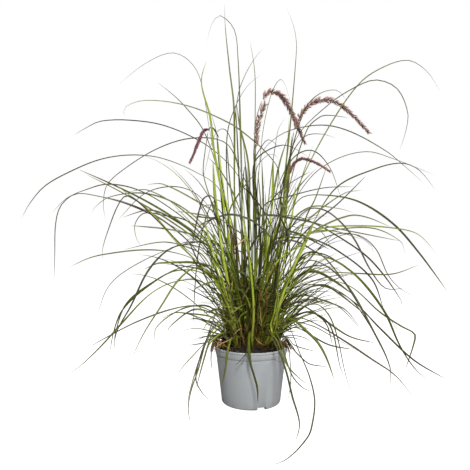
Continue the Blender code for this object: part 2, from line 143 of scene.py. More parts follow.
class Canvas:
    """Adds nodes to one node tree and wires them up."""

    def __init__(self, tree: bpy.types.NodeTree) -> None:
        """Keeps the tree that the nodes go into."""
        self.tree = tree

    def add(self, kind: str, **settings: object) -> bpy.types.Node:
        """Adds a shader node.

        Args:
            kind: the node's type, without its ShaderNode prefix.
            settings: the node's own properties.

        Returns:
            The new node.
        """
        node = self.tree.nodes.new("ShaderNode" + kind)
        for name, value in settings.items():
            setattr(node, name, value)
        return node

    def feed(self, socket: bpy.types.NodeSocket, value: object) -> None:
        """Links an output to the socket, or sets the socket's own value.

        Args:
            socket: the input socket.
            value: an output socket, a number, or a colour of three numbers.
        """
        if isinstance(value, bpy.types.NodeSocket):
            self.tree.links.new(value, socket)
        elif isinstance(value, tuple) and socket.type == "RGBA":
            socket.default_value = (*value, 1)
        else:
            socket.default_value = value

    def wire(self, node: bpy.types.Node, **values: object) -> bpy.types.Node:
        """Feeds a node's inputs by name.

        Args:
            node: the node.
            values: what goes into each input, its name with underscores for spaces.

        Returns:
            The node.
        """
        for name, value in values.items():
            self.feed(node.inputs[name.replace("_", " ")], value)
        return node

    def maths(self, operation: str, *values: object) -> object:
        """The result of a Math node.

        Args:
            operation: what it works out.
            values: its inputs, in order.

        Returns:
            The result's output.
        """
        node = self.add("Math", operation=operation)
        for socket, value in zip(node.inputs, values):
            self.feed(socket, value)
        return node.outputs[0]

    def tint(self, colour: object, other: object, mask: object, amount: float = 1.0) -> object:
        """A colour that moves towards another where a mask is high.

        Args:
            colour: the colour where the mask is 0.
            other: the colour that it moves towards.
            mask: 0 to 1.
            amount: how far it moves where the mask is 1.

        Returns:
            The colour output.
        """
        node = self.add("Mix", data_type="RGBA")
        self.feed(node.inputs["Factor"], self.maths("MULTIPLY", mask, amount))
        self.feed(node.inputs[6], colour)
        self.feed(node.inputs[7], other)
        return node.outputs[2]

    def ramp(self, share: object, colours: Stops) -> object:
        """The colour that a ramp gives for a value.

        Args:
            share: the value, 0 to 1.
            colours: (place, colour) pairs from low to high.

        Returns:
            The colour output.
        """
        node = self.add("ValToRGB")
        elements = node.color_ramp.elements
        while len(elements) < len(colours):
            elements.new(0.5)
        for element, (place, colour) in zip(elements, colours):
            element.position = place
            element.color = (*colour, 1)
        self.feed(node.inputs[0], share)
        return node.outputs[0]

    def mask(self, value: object, low: float, high: float) -> object:
        """A value stretched so that low becomes 0 and high becomes 1."""
        return self.wire(self.add("MapRange"), Value=value, From_Min=low, From_Max=high).outputs[0]

    def noise(self, vector: object, scale: object, detail: float = 3, roughness: float = 0.55) -> object:
        """The value of a noise texture."""
        node = self.add("TexNoise")
        return self.wire(node, Vector=vector, Scale=scale, Detail=detail, Roughness=roughness).outputs["Fac"]

    def attribute(self, name: str) -> object:
        """The value of a number kept on the mesh."""
        return self.add("Attribute", attribute_name=name).outputs["Fac"]

    def place(self) -> object:
        """The point on the object, in its own metres."""
        return self.add("TexCoord").outputs["Object"]

    def bump(self, height: object, strength: float, distance: float) -> object:
        """A normal from a height."""
        node = self.wire(self.add("Bump"), Height=height, Strength=strength, Distance=distance)
        return node.outputs["Normal"]

    def group(self, tree: bpy.types.NodeTree, **values: object) -> bpy.types.Node:
        """Places a node group and feeds its inputs by name."""
        return self.wire(self.add("Group", node_tree=tree), **values)

    def grained(self, shader: bpy.types.Node, colour: object, gloss: object, scale: float, strength: float,
                depth: float) -> None:
        """Feeds a shader a colour, a roughness and small bumps.

        Args:
            shader: the shader.
            colour: its base colour.
            gloss: its roughness.
            scale: how many bumps there are.
            strength: how strongly they show, 0 to 1.
            depth: how deep they are, in metres.
        """
        grain = self.group(grain_group(), Vector=self.place(), Scale=scale)
        normal = self.bump(grain.outputs["Height"], strength, depth)
        self.wire(shader, Base_Color=colour, Roughness=gloss, Normal=normal)


def new_group(name: str, inputs: dict[str, str], outputs: dict[str, str]) -> tuple[Canvas, object, object]:
    """Starts a shader node group.

    Args:
        name: the group's name.
        inputs: socket kinds by name.
        outputs: socket kinds by name.

    Returns:
        The group's canvas, its input node's outputs and its output node's inputs.
    """
    tree = bpy.data.node_groups.new(name, "ShaderNodeTree")
    for direction, sockets in (("INPUT", inputs), ("OUTPUT", outputs)):
        for socket, kind in sockets.items():
            tree.interface.new_socket(name=socket, in_out=direction, socket_type="NodeSocket" + kind)
    source = tree.nodes.new("NodeGroupInput")
    target = tree.nodes.new("NodeGroupOutput")
    return Canvas(tree), source.outputs, target.inputs


def mottle_group() -> bpy.types.NodeTree:
    """Soft patches that shift a colour; made once.

    Returns:
        The group.
    """
    if "mottle" in bpy.data.node_groups:
        return bpy.data.node_groups["mottle"]
    kinds = {"Vector": "Vector", "Color": "Color", "Patch": "Color", "Scale": "Float", "Amount": "Float"}
    canvas, given, result = new_group("mottle", kinds, {"Color": "Color", "Mask": "Float"})
    broad = canvas.noise(given["Vector"], given["Scale"], 4)
    fine = canvas.noise(given["Vector"], canvas.maths("MULTIPLY", given["Scale"], 5.3), 2)
    both = canvas.maths("MULTIPLY_ADD", fine, 0.3, canvas.maths("MULTIPLY", broad, 0.7))
    mask = canvas.mask(both, 0.4, 0.62)
    canvas.feed(result["Color"], canvas.tint(given["Color"], given["Patch"], mask, given["Amount"]))
    canvas.feed(result["Mask"], mask)
    return canvas.tree


def fibres_group() -> bpy.types.NodeTree:
    """Fine parallel fibres along a strand; made once.

    Returns:
        The group.
    """
    if "fibres" in bpy.data.node_groups:
        return bpy.data.node_groups["fibres"]
    kinds = {"Across": "Float", "Along": "Float", "Shade": "Float", "Count": "Float"}
    canvas, given, result = new_group("fibres", kinds, {"Mask": "Float", "Height": "Float"})
    vector = canvas.add("CombineXYZ")
    canvas.feed(vector.inputs[0], canvas.maths("MULTIPLY", given["Across"], given["Count"]))
    canvas.feed(vector.inputs[1], canvas.maths("MULTIPLY", given["Along"], 9.0))
    canvas.feed(vector.inputs[2], canvas.maths("MULTIPLY", given["Shade"], 37.0))
    streaks = canvas.noise(vector.outputs[0], 1.0, 2)
    count = canvas.maths("MULTIPLY", given["Count"], 3.1)
    ridges = canvas.maths("SINE", canvas.maths("MULTIPLY", given["Across"], count))
    canvas.feed(result["Mask"], canvas.mask(streaks, 0.35, 0.68))
    canvas.feed(result["Height"], canvas.maths("MULTIPLY_ADD", ridges, 0.5, streaks))
    return canvas.tree


def grain_group() -> bpy.types.NodeTree:
    """Small bumps at two scales; made once.

    Returns:
        The group.
    """
    if "grain" in bpy.data.node_groups:
        return bpy.data.node_groups["grain"]
    canvas, given, result = new_group("grain", {"Vector": "Vector", "Scale": "Float"}, {"Height": "Float"})
    coarse = canvas.noise(given["Vector"], given["Scale"], 3)
    fine = canvas.noise(given["Vector"], canvas.maths("MULTIPLY", given["Scale"], 4.7), 2)
    canvas.feed(result["Height"], canvas.maths("MULTIPLY_ADD", fine, 0.4, coarse))
    return canvas.tree


# ---------------------------------------------------------------- finishes


@dataclass(frozen=True)
class Finish:
    """One kind of surface, made into a material once."""

    name: str

    def dress(self, canvas: Canvas, shader: bpy.types.Node) -> None:
        """Builds the finish's nodes round its shader."""
        raise NotImplementedError

    def material(self) -> bpy.types.Material:
        """The finish as a material.

        Returns:
            The material, the same one each time.
        """
        if self.name not in bpy.data.materials:
            made = bpy.data.materials.new(self.name)
            made.use_nodes = True
            self.dress(Canvas(made.node_tree), made.node_tree.nodes["Principled BSDF"])
        return bpy.data.materials[self.name]


@dataclass(frozen=True)
class StrandFinish(Finish):
    """A leaf's, sheath's or straw's finish: colours along it, fibres, a midrib and tinted margins.

    The mesh carries "along" (0 at the root, BLADE_START where the blade leaves its sheath, 1 at the tip),
    "cross" (-1 to 1 across it) and "shade" (0 to 1, one value for each strand).

    Attributes:
        stops: colours along it.
        dull: the tint of its duller strands and fibres.
        margin: the tint of its margins.
        rib: the tint of its midrib and of its paler strands.
        roughness: of its smoothest parts.
        fibres: how many show across it.
        blade_start: where along it the rib and the margins begin and are full.
        margin_start: where across it the margin begins.
        rib_edges: where across it the midrib ends and is full.
        pale_share: how fast paler strands follow each other with rising shade.
    """

    stops: Stops
    dull: Rgb
    margin: Rgb
    rib: Rgb
    roughness: float = 0.44
    fibres: float = 7.0
    blade_start: tuple[float, float] = (BLADE_START - 0.04, BLADE_START + 0.06)
    margin_start: float = 0.72
    rib_edges: tuple[float, float] = (0.22, 0.04)
    pale_share: float = 53.0

    def dress(self, canvas: Canvas, shader: bpy.types.Node) -> None:
        """Wires the colours, the fibres and the rib into the shader.

        Args:
            canvas: the material's nodes.
            shader: its shader.
        """
        along, cross, shade = (canvas.attribute(name) for name in MESH_VALUES)
        fibres = canvas.group(fibres_group(), Across=cross, Along=along, Shade=shade, Count=self.fibres)
        away = canvas.maths("ABSOLUTE", cross)
        on_blade = canvas.mask(along, *self.blade_start)
        edge = canvas.maths("MULTIPLY", canvas.mask(away, self.margin_start, 1.0), on_blade)
        rib = canvas.maths("MULTIPLY", canvas.mask(away, *self.rib_edges), on_blade)
        pale = canvas.mask(canvas.maths("SINE", canvas.maths("MULTIPLY", shade, self.pale_share)), 0.1, 1.0)
        colour = canvas.ramp(along, self.stops)
        for other, mask, amount in ((self.dull, shade, 0.5), (self.dull, fibres.outputs["Mask"], 0.3),
                                    (self.margin, edge, 0.6), (self.rib, rib, 0.4), (self.rib, pale, 0.3)):
            colour = canvas.tint(colour, other, mask, amount)
        patches = canvas.group(mottle_group(), Vector=canvas.place(), Color=colour, Patch=self.margin,
                               Scale=55.0, Amount=0.28)
        gloss = canvas.maths("MULTIPLY_ADD", patches.outputs["Mask"], 0.2, self.roughness)
        canvas.wire(shader, Base_Color=patches.outputs["Color"], Roughness=gloss, Specular_IOR_Level=0.36,
                    Normal=canvas.bump(fibres.outputs["Height"], 0.35, 0.2 * MM))


LEAF_FINISHES = {
    LIME: StrandFinish(
        "lime_leaf",
        stops((0, 112, 78, 38), (0.07, 126, 102, 44), (0.24, 172, 188, 42), (0.4, 166, 188, 30),
              (0.6, 132, 156, 26), (0.85, 104, 114, 32), (1, 124, 102, 76)),
        dull=screen(118, 142, 18), margin=screen(120, 128, 30), rib=screen(222, 230, 130)),
    GREEN: StrandFinish(
        "green_leaf",
        stops((0, 108, 72, 36), (0.08, 118, 102, 40), (0.26, 146, 164, 28), (0.4, 130, 150, 20),
              (0.6, 94, 110, 18), (0.85, 80, 84, 28), (1, 116, 92, 74)),
        dull=screen(50, 60, 6), margin=screen(84, 80, 26), rib=screen(176, 184, 92)),
    OLIVE: StrandFinish(
        "olive_leaf",
        stops((0, 108, 68, 40), (0.06, 130, 114, 42), (0.2, 116, 124, 22), (0.4, 84, 92, 14),
              (0.55, 60, 66, 14), (0.85, 64, 60, 32), (1, 106, 84, 72)),
        dull=screen(27, 30, 5), margin=screen(62, 52, 26), rib=screen(132, 138, 74)),
    DARK: StrandFinish(
        "dark_leaf",
        stops((0, 84, 66, 34), (0.2, 78, 86, 18), (0.4, 50, 58, 12), (0.85, 46, 46, 24), (1, 92, 76, 68)),
        dull=screen(20, 23, 5), margin=screen(40, 36, 20), rib=screen(86, 94, 50)),
    PURPLE: StrandFinish(
        "purple_leaf",
        stops((0, 96, 50, 40), (0.08, 112, 92, 42), (0.3, 88, 84, 28), (0.5, 58, 50, 30),
              (0.75, 64, 52, 44), (1, 106, 86, 82)),
        dull=screen(32, 27, 18), margin=screen(62, 44, 38), rib=screen(126, 114, 88)),
    STRAW: StrandFinish(
        "straw_leaf",
        stops((0, 126, 84, 46), (0.3, 166, 130, 74), (0.7, 180, 148, 90), (1, 146, 110, 64)),
        dull=screen(98, 70, 38), margin=screen(118, 84, 48), rib=screen(204, 180, 126), roughness=0.62),
    BROWN: StrandFinish(
        "brown_sheath",
        stops((0, 62, 38, 20), (0.3, 92, 60, 28), (0.7, 116, 80, 40), (1, 86, 60, 32)),
        dull=screen(28, 20, 10), margin=screen(46, 30, 16), rib=screen(134, 100, 58), roughness=0.6),
}
TONES = tuple(LEAF_FINISHES)


def leaf_materials(tones: tuple[Tone, ...] = TONES) -> list[bpy.types.Material]:
    """The tones' materials, in the same order."""
    return [LEAF_FINISHES[tone].material() for tone in tones]


@dataclass(frozen=True)
class CulmFinish(Finish):
    """A flower stem's finish: smooth green, browner at its joints, purple brown under the flower."""

    name: str = "flower_culm"
    joint: Rgb = screen(116, 70, 44)
    fibre: Rgb = screen(80, 92, 36)

    def dress(self, canvas: Canvas, shader: bpy.types.Node) -> None:
        """Wires the colours and the fibres into the shader.

        Args:
            canvas: the material's nodes.
            shader: its shader.
        """
        along, cross, knot = (canvas.attribute(name) for name in MESH_VALUES)
        fibres = canvas.group(fibres_group(), Across=cross, Along=along, Shade=knot, Count=5.0)
        colour = canvas.ramp(along, stops((0, 150, 112, 60), (0.1, 160, 176, 66), (0.6, 120, 138, 44),
                                          (0.85, 94, 90, 44), (1, 98, 58, 54)))
        colour = canvas.tint(colour, self.joint, knot)
        colour = canvas.tint(colour, self.fibre, fibres.outputs["Mask"], 0.4)
        gloss = canvas.maths("MULTIPLY_ADD", fibres.outputs["Mask"], 0.15, 0.38)
        canvas.wire(shader, Base_Color=colour, Roughness=gloss,
                    Normal=canvas.bump(fibres.outputs["Height"], 0.3, 0.15 * MM))


@dataclass(frozen=True)
class FoxtailFinish(Finish):
    """A foxtail's finish: dark at its core, its bristles paler outwards.

    On these meshes "along" runs out along a bristle and "cross" runs along the whole foxtail.
    """

    core: Rgb
    middle: Rgb
    tip: Rgb
    end: Rgb

    def dress(self, canvas: Canvas, shader: bpy.types.Node) -> None:
        """Wires the bristles' colours into the shader.

        Args:
            canvas: the material's nodes.
            shader: its shader.
        """
        along, share, shade = (canvas.attribute(name) for name in MESH_VALUES)
        colour = canvas.ramp(along, ((0.0, self.core), (0.45, self.middle), (1.0, self.tip)))
        colour = canvas.tint(colour, self.end, canvas.mask(share, 0.6, 1.0), 0.7)
        colour = canvas.tint(colour, self.core, shade, 0.45)
        patches = canvas.group(mottle_group(), Vector=canvas.place(), Color=colour, Patch=self.middle,
                               Scale=160.0, Amount=0.4)
        gloss = canvas.maths("MULTIPLY_ADD", patches.outputs["Mask"], 0.2, 0.6)
        canvas.wire(shader, Base_Color=patches.outputs["Color"], Roughness=gloss, Sheen_Weight=0.25)


class FoxtailTone(Enum):
    """The finishes of the five foxtails, from young to ripe."""

    MAROON = FoxtailFinish("maroon_foxtail", core=screen(70, 32, 42), middle=screen(114, 62, 70),
                           tip=screen(146, 100, 102), end=screen(98, 56, 62))
    PINKISH = FoxtailFinish("pinkish_foxtail", core=screen(128, 90, 84), middle=screen(152, 114, 104),
                            tip=screen(186, 154, 142), end=screen(172, 140, 128))
    REDDISH = FoxtailFinish("reddish_foxtail", core=screen(92, 48, 48), middle=screen(142, 92, 84),
                            tip=screen(176, 134, 124), end=screen(188, 154, 136))
    TAN = FoxtailFinish("tan_foxtail", core=screen(118, 88, 72), middle=screen(166, 136, 118),
                        tip=screen(204, 182, 166), end=screen(184, 156, 136))


@dataclass(frozen=True)
class PlasticFinish(Finish):
    """The pot's satin grey plastic: fine grain, faint streaks of dust and a painted highlight along the top
    of its rim.
    """

    name: str = "grey_pot_plastic"
    colour: Rgb = screen(162, 166, 169)
    dusty: Rgb = screen(177, 177, 173)
    soiled: Rgb = screen(118, 112, 104)
    # pale grey of the painted highlight on the top of the rim, where the light falls on it
    lip_highlight: Rgb = screen(196, 199, 200)
    mud_height: float = 20 * MM
    # how far down from the top the painted highlight on the rim reaches
    highlight_height: float = 1.4 * MM

    def dress(self, canvas: Canvas, shader: bpy.types.Node) -> None:
        """Wires the dust, the soil splashes, the painted highlight on the lip and the grain into the shader.

        Args:
            canvas: the material's nodes.
            shader: its shader.
        """
        place = canvas.place()
        axes = canvas.add("SeparateXYZ")
        canvas.feed(axes.inputs[0], place)
        height = axes.outputs[2]
        patches = canvas.group(mottle_group(), Vector=place, Color=self.colour, Patch=self.dusty,
                               Scale=24.0, Amount=0.35)
        stretch = canvas.add("Mapping")
        canvas.feed(stretch.inputs["Vector"], place)
        stretch.inputs["Scale"].default_value = (1.0, 1.0, 0.12)
        runs = canvas.mask(canvas.noise(stretch.outputs[0], 90.0, 2), 0.6, 0.85)
        specks = canvas.mask(canvas.noise(place, 420.0, 1), 0.7, 0.76)
        low = canvas.mask(height, self.mud_height, 0.0)
        mud = canvas.maths("MULTIPLY", low, canvas.mask(canvas.noise(place, 60.0), 0.42, 0.7))
        # painted highlight: the top of the rim is tinted lighter in patches, as if lit from above
        lip = canvas.mask(height, POT_HEIGHT - self.highlight_height, POT_HEIGHT)
        lit_lip = canvas.maths("MULTIPLY", lip, canvas.mask(canvas.noise(place, 110.0), 0.4, 0.6))
        colour = patches.outputs["Color"]
        for other, mask, amount in ((self.dusty, runs, 0.25), (self.soiled, specks, 0.3),
                                    (self.soiled, mud, 0.5), (self.lip_highlight, lit_lip, 0.5)):
            colour = canvas.tint(colour, other, mask, amount)
        canvas.grained(shader, colour, canvas.maths("MULTIPLY_ADD", patches.outputs["Mask"], 0.16, 0.36),
                       700.0, 0.12, 0.1 * MM)


@dataclass(frozen=True)
class SoilFinish(Finish):
    """Dark, damp potting soil with lighter dry patches."""

    name: str = "potting_soil_finish"
    wet: Rgb = screen(24, 19, 15)
    dry: Rgb = screen(52, 40, 29)

    def dress(self, canvas: Canvas, shader: bpy.types.Node) -> None:
        """Wires the patches and the grain into the shader.

        Args:
            canvas: the material's nodes.
            shader: its shader.
        """
        patches = canvas.group(mottle_group(), Vector=canvas.place(), Color=self.wet, Patch=self.dry,
                               Scale=130.0, Amount=0.7)
        gloss = canvas.maths("MULTIPLY_ADD", patches.outputs["Mask"], 0.15, 0.8)
        canvas.grained(shader, patches.outputs["Color"], gloss, 520.0, 0.9, 0.8 * MM)


@dataclass(frozen=True)
class CrumbFinish(Finish):
    """Crumbs of peat and bark, each with its own shade."""

    name: str = "soil_crumb_finish"
    damp: Rgb = screen(40, 28, 22)

    def dress(self, canvas: Canvas, shader: bpy.types.Node) -> None:
        """Wires the crumbs' shades and the grain into the shader.

        Args:
            canvas: the material's nodes.
            shader: its shader.
        """
        colour = canvas.ramp(canvas.attribute("shade"), stops(
            (0, 16, 12, 10), (0.5, 34, 26, 20), (0.88, 58, 43, 31), (0.97, 104, 82, 58), (1, 156, 136, 108)))
        patches = canvas.group(mottle_group(), Vector=canvas.place(), Color=colour, Patch=self.damp,
                               Scale=480.0, Amount=0.6)
        gloss = canvas.maths("MULTIPLY_ADD", patches.outputs["Mask"], 0.1, 0.82)
        canvas.grained(shader, patches.outputs["Color"], gloss, 900.0, 0.8, 0.4 * MM)


@dataclass(frozen=True)
class FloorFinish(Finish):
    """Plain pale card that looks white to the camera and throws little light back."""

    name: str = "pale_floor"
    colour: Rgb = (0.3, 0.3, 0.3)
    glow: float = 1.0

    def dress(self, canvas: Canvas, shader: bpy.types.Node) -> None:
        """Sets a matt grey that glows white to the camera alone.

        Args:
            canvas: the material's nodes.
            shader: its shader.
        """
        seen = canvas.add("LightPath").outputs["Is Camera Ray"]
        canvas.wire(shader, Base_Color=self.colour, Roughness=0.9, Specular_IOR_Level=0.0,
                    Emission_Color=(1, 1, 1), Emission_Strength=canvas.maths("MULTIPLY", seen, self.glow))


# ---------------------------------------------------------------- lines and strands


def soil_height(distance: float) -> float:
    """Height of the mounded soil, in metres, at a distance from the axis in metres."""
    share = min(distance / (RIM_RADIUS - 2.6 * MM), 1)
    return SOIL_MIDDLE_HEIGHT - (SOIL_MIDDLE_HEIGHT - SOIL_EDGE_HEIGHT) * share ** 2


def root_of(azimuth: float, distance: float) -> np.ndarray:
    """Where a strand leaves the soil, in centimetres.

    Args:
        azimuth: degrees, 0 right, 90 back.
        distance: from the axis, in centimetres.

    Returns:
        The point.
    """
    angle = math.radians(azimuth)
    height = (soil_height(abs(distance) * CM) + ROOT_LIFT) / CM
    return np.array((distance * math.cos(angle), distance * math.sin(angle), height))


def placed(point: tuple[float, ...], azimuth: float, root: np.ndarray, limits: np.ndarray) -> np.ndarray:
    """The real point of an outline point.

    Args:
        point: (across, up) or (across, up, depth) in centimetres.
        azimuth: of the strand's upright plane, in degrees.
        root: the strand's root, in centimetres.
        limits: nearest and furthest depth that a point may have, in centimetres.

    Returns:
        The point, in centimetres.
    """
    sight = np.array((point[0] - EYE[0], -EYE[1], point[1] - EYE[2]))
    if len(point) == 3:
        reach = (point[2] - EYE[1]) / -EYE[1]
    else:
        angle = math.radians(azimuth)
        normal = np.array((math.sin(angle), -math.cos(angle), 0))
        reach = (root - EYE) @ normal / (sight @ normal)
    reach = np.clip(reach, *((limits - EYE[1]) / -EYE[1]))
    real = EYE + reach * sight
    real[2] = max(real[2], FLOOR_CLEARANCE / CM)
    return real


def smooth_line(points: np.ndarray, stations: int, steps: int = 24) -> np.ndarray:
    """Points at equal steps along the smooth curve through the given ones.

    Args:
        points: the given points, one in each row.
        stations: how many steps to take.
        steps: how finely each span is measured.

    Returns:
        stations + 1 points.
    """
    points = np.asarray(points, float)
    ends = np.vstack((2 * points[0] - points[1], points, 2 * points[-1] - points[-2]))
    before, start, end, after = (ends[i:len(ends) - 3 + i, None, :] for i in range(4))
    chord, chord_in, chord_out = (np.linalg.norm(d, axis=2, keepdims=True)
                                  for d in (end - start, start - before, after - end))
    slope_in = (end - before) * chord / (chord_in + chord)
    slope_out = (after - start) * chord / (chord_out + chord)
    share = (np.arange(steps) / steps)[None, :, None]
    a, b = share ** 3, share ** 2
    line = (2 * a - 3 * b + 1) * start + (a - 2 * b + share) * slope_in
    line = line + (3 * b - 2 * a) * end + (a - b) * slope_out
    line = np.vstack((line.reshape(-1, 3), points[-1]))
    lengths = np.concatenate(([0], np.cumsum(np.linalg.norm(np.diff(line, axis=0), axis=1))))
    targets = np.linspace(0, lengths[-1], stations + 1)
    return np.stack([np.interp(targets, lengths, line[:, i]) for i in range(3)], axis=1)


def unit(vectors: np.ndarray) -> np.ndarray:
    """The vectors at length 1."""
    return vectors / np.maximum(np.linalg.norm(vectors, axis=-1, keepdims=True), 1e-12)


def level_across(bearing: np.ndarray) -> np.ndarray:
    """The level direction across each bearing, N x 3."""
    return np.stack((-np.sin(bearing), np.cos(bearing), np.zeros(len(bearing))), axis=1)


def circles(side: np.ndarray, up: np.ndarray, sides: int) -> np.ndarray:
    """Points round circles of radius 1 that lie in the given side and upper directions."""
    turns = math.tau * np.arange(sides) / sides
    return np.cos(turns)[:, None] * side[..., None, :] + np.sin(turns)[:, None] * up[..., None, :]


def frames(lines: np.ndarray, across: np.ndarray, roll: np.ndarray) -> tuple[np.ndarray, ...]:
    """Side and upper directions along lines.

    Args:
        lines: points of N lines, N x S x 3.
        across: the level direction that each line's side starts from, N x 3.
        roll: turn about the line at each point, N x S, in radians.

    Returns:
        The side and the upper directions, both N x S x 3.
    """
    along = unit(np.gradient(lines, axis=1))
    flat = across[:, None, :] - np.sum(across[:, None, :] * along, axis=2, keepdims=True) * along
    flat = unit(flat)
    turn = roll[:, :, None]
    side = flat * np.cos(turn) + np.cross(along, flat) * np.sin(turn)
    return side, np.cross(along, side)


def facing_roll(lines: np.ndarray, across: np.ndarray, seen: np.ndarray, reach: int = 4) -> np.ndarray:
    """The turn at which blades show some part of their width from EYE.

    Args:
        lines: points of N lines, N x S x 3.
        across: the level direction across each line's plane, N x 3.
        seen: the part of each width that shows, below 0 for the other side's lean, N.
        reach: how many points on either side the turn is evened out over.

    Returns:
        The turn at each point, N x S, in radians.
    """
    along = unit(np.gradient(lines, axis=1))
    flat, over = frames(lines, across, np.zeros(lines.shape[:2]))
    normal = unit(np.cross(along, unit(lines - EYE * CM)))
    broad = np.arctan2(np.sum(over * normal, axis=2), np.sum(flat * normal, axis=2))
    turn = broad + np.sign(seen)[:, None] * np.arccos(np.abs(seen))[:, None]
    start = (turn[:, :1] + math.pi / 2) % math.pi - math.pi / 2
    turn = np.unwrap(turn, period=math.pi, axis=1)
    turn = turn - turn[:, :1] + start
    padded = np.pad(turn, ((0, 0), (reach, reach)), mode="edge")
    return np.mean([padded[:, i:i + turn.shape[1]] for i in range(2 * reach + 1)], axis=0)


@dataclass
class Strands:
    """Many closed tubes with pointed tips that become one mesh.

    Each strand has its own cell in the mesh's UV map, so that no two share any of it.

    Attributes:
        name: of the object and its mesh.
        points: the points of each batch of strands.
        values: "along", "cross" and "shade" at these points.
        shapes: strands, rings and sides of each batch.
        slots: the material slot of each strand.
        cell_length: length of a UV cell, as a multiple of its width.
        inset: distance between a strand and its cell's edges, as a part of the cell.
    """

    name: str
    points: list[np.ndarray] = field(default_factory=list)
    values: list[np.ndarray] = field(default_factory=list)
    shapes: list[tuple[int, int, int]] = field(default_factory=list)
    slots: list[np.ndarray] = field(default_factory=list)
    cell_length: float = 4
    inset: float = 0.02

    def add(self, rings: np.ndarray, tips: np.ndarray, along: object, cross: object, shade: object,
            slot: object = 0) -> None:
        """Adds strands that have the same number of rings and sides.

        Args:
            rings: N strands x S rings x K points x 3, turning about the way the strand runs.
            tips: the strands' pointed ends, N x 3.
            along: how far along, for each ring point, in a shape that spreads over N x S x K.
            cross: how far across, likewise.
            shade: the strand's own shade, likewise.
            slot: material slot of each strand.
        """
        count, stations, sides = rings.shape[:3]
        self.points.append(np.concatenate((rings.reshape(count, -1, 3), tips[:, None]), axis=1))
        spread = [np.broadcast_to(np.asarray(value, float), (count, stations, sides))
                  for value in (along, cross, shade)]
        at_tip = [np.ones((count, 1)), spread[1][:, -1].mean(axis=1, keepdims=True), spread[2][:, -1, :1]]
        both = [np.concatenate((v.reshape(count, -1), t), axis=1) for v, t in zip(spread, at_tip)]
        self.values.append(np.stack(both, axis=2))
        self.shapes.append((count, stations, sides))
        self.slots.append(np.broadcast_to(np.asarray(slot, int), (count,)))

    @staticmethod
    def faces(stations: int, sides: int) -> tuple[list[list[int]], list[list[tuple[float, float]]]]:
        """One strand's faces and their places in its UV cell.

        Args:
            stations: how many rings it has.
            sides: how many points each ring has.

        Returns:
            The faces' point numbers, and the UV places of the faces' corners, 0 to 1 across the cell.
        """
        faces, places = [], []
        wall_start, wall_width, cap_middle, cap_radius = 0.12, 0.85, 0.05, 0.04
        for station in range(stations):
            low, high = station / stations, (station + 1) / stations
            first, above = station * sides, (station + 1) * sides
            for k in range(sides):
                after = (k + 1) % sides
                left, right = (wall_start + wall_width * edge / sides for edge in (k, k + 1))
                if station + 1 < stations:
                    faces.append([first + k, first + after, above + after, above + k])
                    places.append([(low, left), (low, right), (high, right), (high, left)])
                else:
                    faces.append([first + k, first + after, above])
                    places.append([(low, left), (low, right), (high, (left + right) / 2)])
        faces.append(list(reversed(range(sides))))
        places.append([(cap_middle + cap_radius * math.cos(turn), cap_middle + cap_radius * math.sin(turn))
                       for turn in (math.tau * k / sides for k in reversed(range(sides)))])
        return faces, places

    def build(self, materials: list[bpy.types.Material], sharp_angle: float = 50) -> bpy.types.Object:
        """Makes the mesh.

        Args:
            materials: the mesh's materials, in slot order.
            sharp_angle: edges that turn more than this many degrees stay sharp.

        Returns:
            The object, linked to the scene.
        """
        total = sum(count for count, _, _ in self.shapes)
        columns = math.ceil(math.sqrt(total / self.cell_length)) if total > 1 else 1
        rows = math.ceil(total / columns)
        corners, starts, uvs, slots = [], [], [], []
        first_point = first_corner = strand = 0
        for (count, stations, sides), slot in zip(self.shapes, self.slots):
            faces, places = self.faces(stations, sides)
            sizes = np.array([len(face) for face in faces])
            flat = np.concatenate([np.array(face) for face in faces])
            each = stations * sides + 1
            offsets = first_point + each * np.arange(count)
            corners.append((flat[None, :] + offsets[:, None]).ravel())
            face_starts = np.concatenate(([0], np.cumsum(sizes)[:-1]))
            shift = first_corner + len(flat) * np.arange(count)
            starts.append((face_starts[None, :] + shift[:, None]).ravel())
            place = np.concatenate([np.array(p) for p in places])
            number = strand + np.arange(count)
            cell = np.stack((number % columns, number // columns), axis=1)[:, None, :]
            inner = place[None] * (1 - 2 * self.inset) + self.inset
            uvs.append(((inner + cell) / (columns, rows)).reshape(-1, 2))
            slots.append(np.repeat(slot, len(faces)))
            first_point += each * count
            first_corner += len(flat) * count
            strand += count
        mesh = bpy.data.meshes.new(self.name)
        points = np.concatenate([p.reshape(-1, 3) for p in self.points])
        values = np.concatenate([v.reshape(-1, 3) for v in self.values])
        mesh.vertices.add(len(points))
        mesh.vertices.foreach_set("co", points.astype(np.float32).ravel())
        mesh.loops.add(first_corner)
        mesh.loops.foreach_set("vertex_index", np.concatenate(corners).astype(np.int32))
        face_starts = np.concatenate(starts).astype(np.int32)
        mesh.polygons.add(len(face_starts))
        mesh.polygons.foreach_set("loop_start", face_starts)
        mesh.polygons.foreach_set("material_index", np.concatenate(slots).astype(np.int32))
        layer = mesh.uv_layers.new(name="OFBake")
        layer.uv.foreach_set("vector", np.concatenate(uvs).astype(np.float32).ravel())
        for number, name in enumerate(MESH_VALUES):
            kept = mesh.attributes.new(name, "FLOAT", "POINT")
            kept.data.foreach_set("value", values[:, number].astype(np.float32))
        mesh.update(calc_edges=True)
        mesh.shade_smooth()
        mesh.set_sharp_from_angle(angle=math.radians(sharp_angle))
        for material in materials:
            mesh.materials.append(material)
        made = bpy.data.objects.new(self.name, mesh)
        bpy.context.scene.collection.objects.link(made)
        return made


def report(piece: bpy.types.Object, slot: str, *nodes: str) -> None:
    """Attaches a finished piece to the body, hides the frame's nodes that it stands for, and logs it.

    Args:
        piece: the finished piece.
        slot: a material slot's name; not used.
        nodes: the frame's nodes that it stands for.
    """
    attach(piece, BODY)
    if nodes:
        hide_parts(*nodes)
    LOG.info("%s: %d faces, in place of %s", piece.name, len(piece.data.polygons), ", ".join(nodes) or "-")


# ---------------------------------------------------------------- leaves


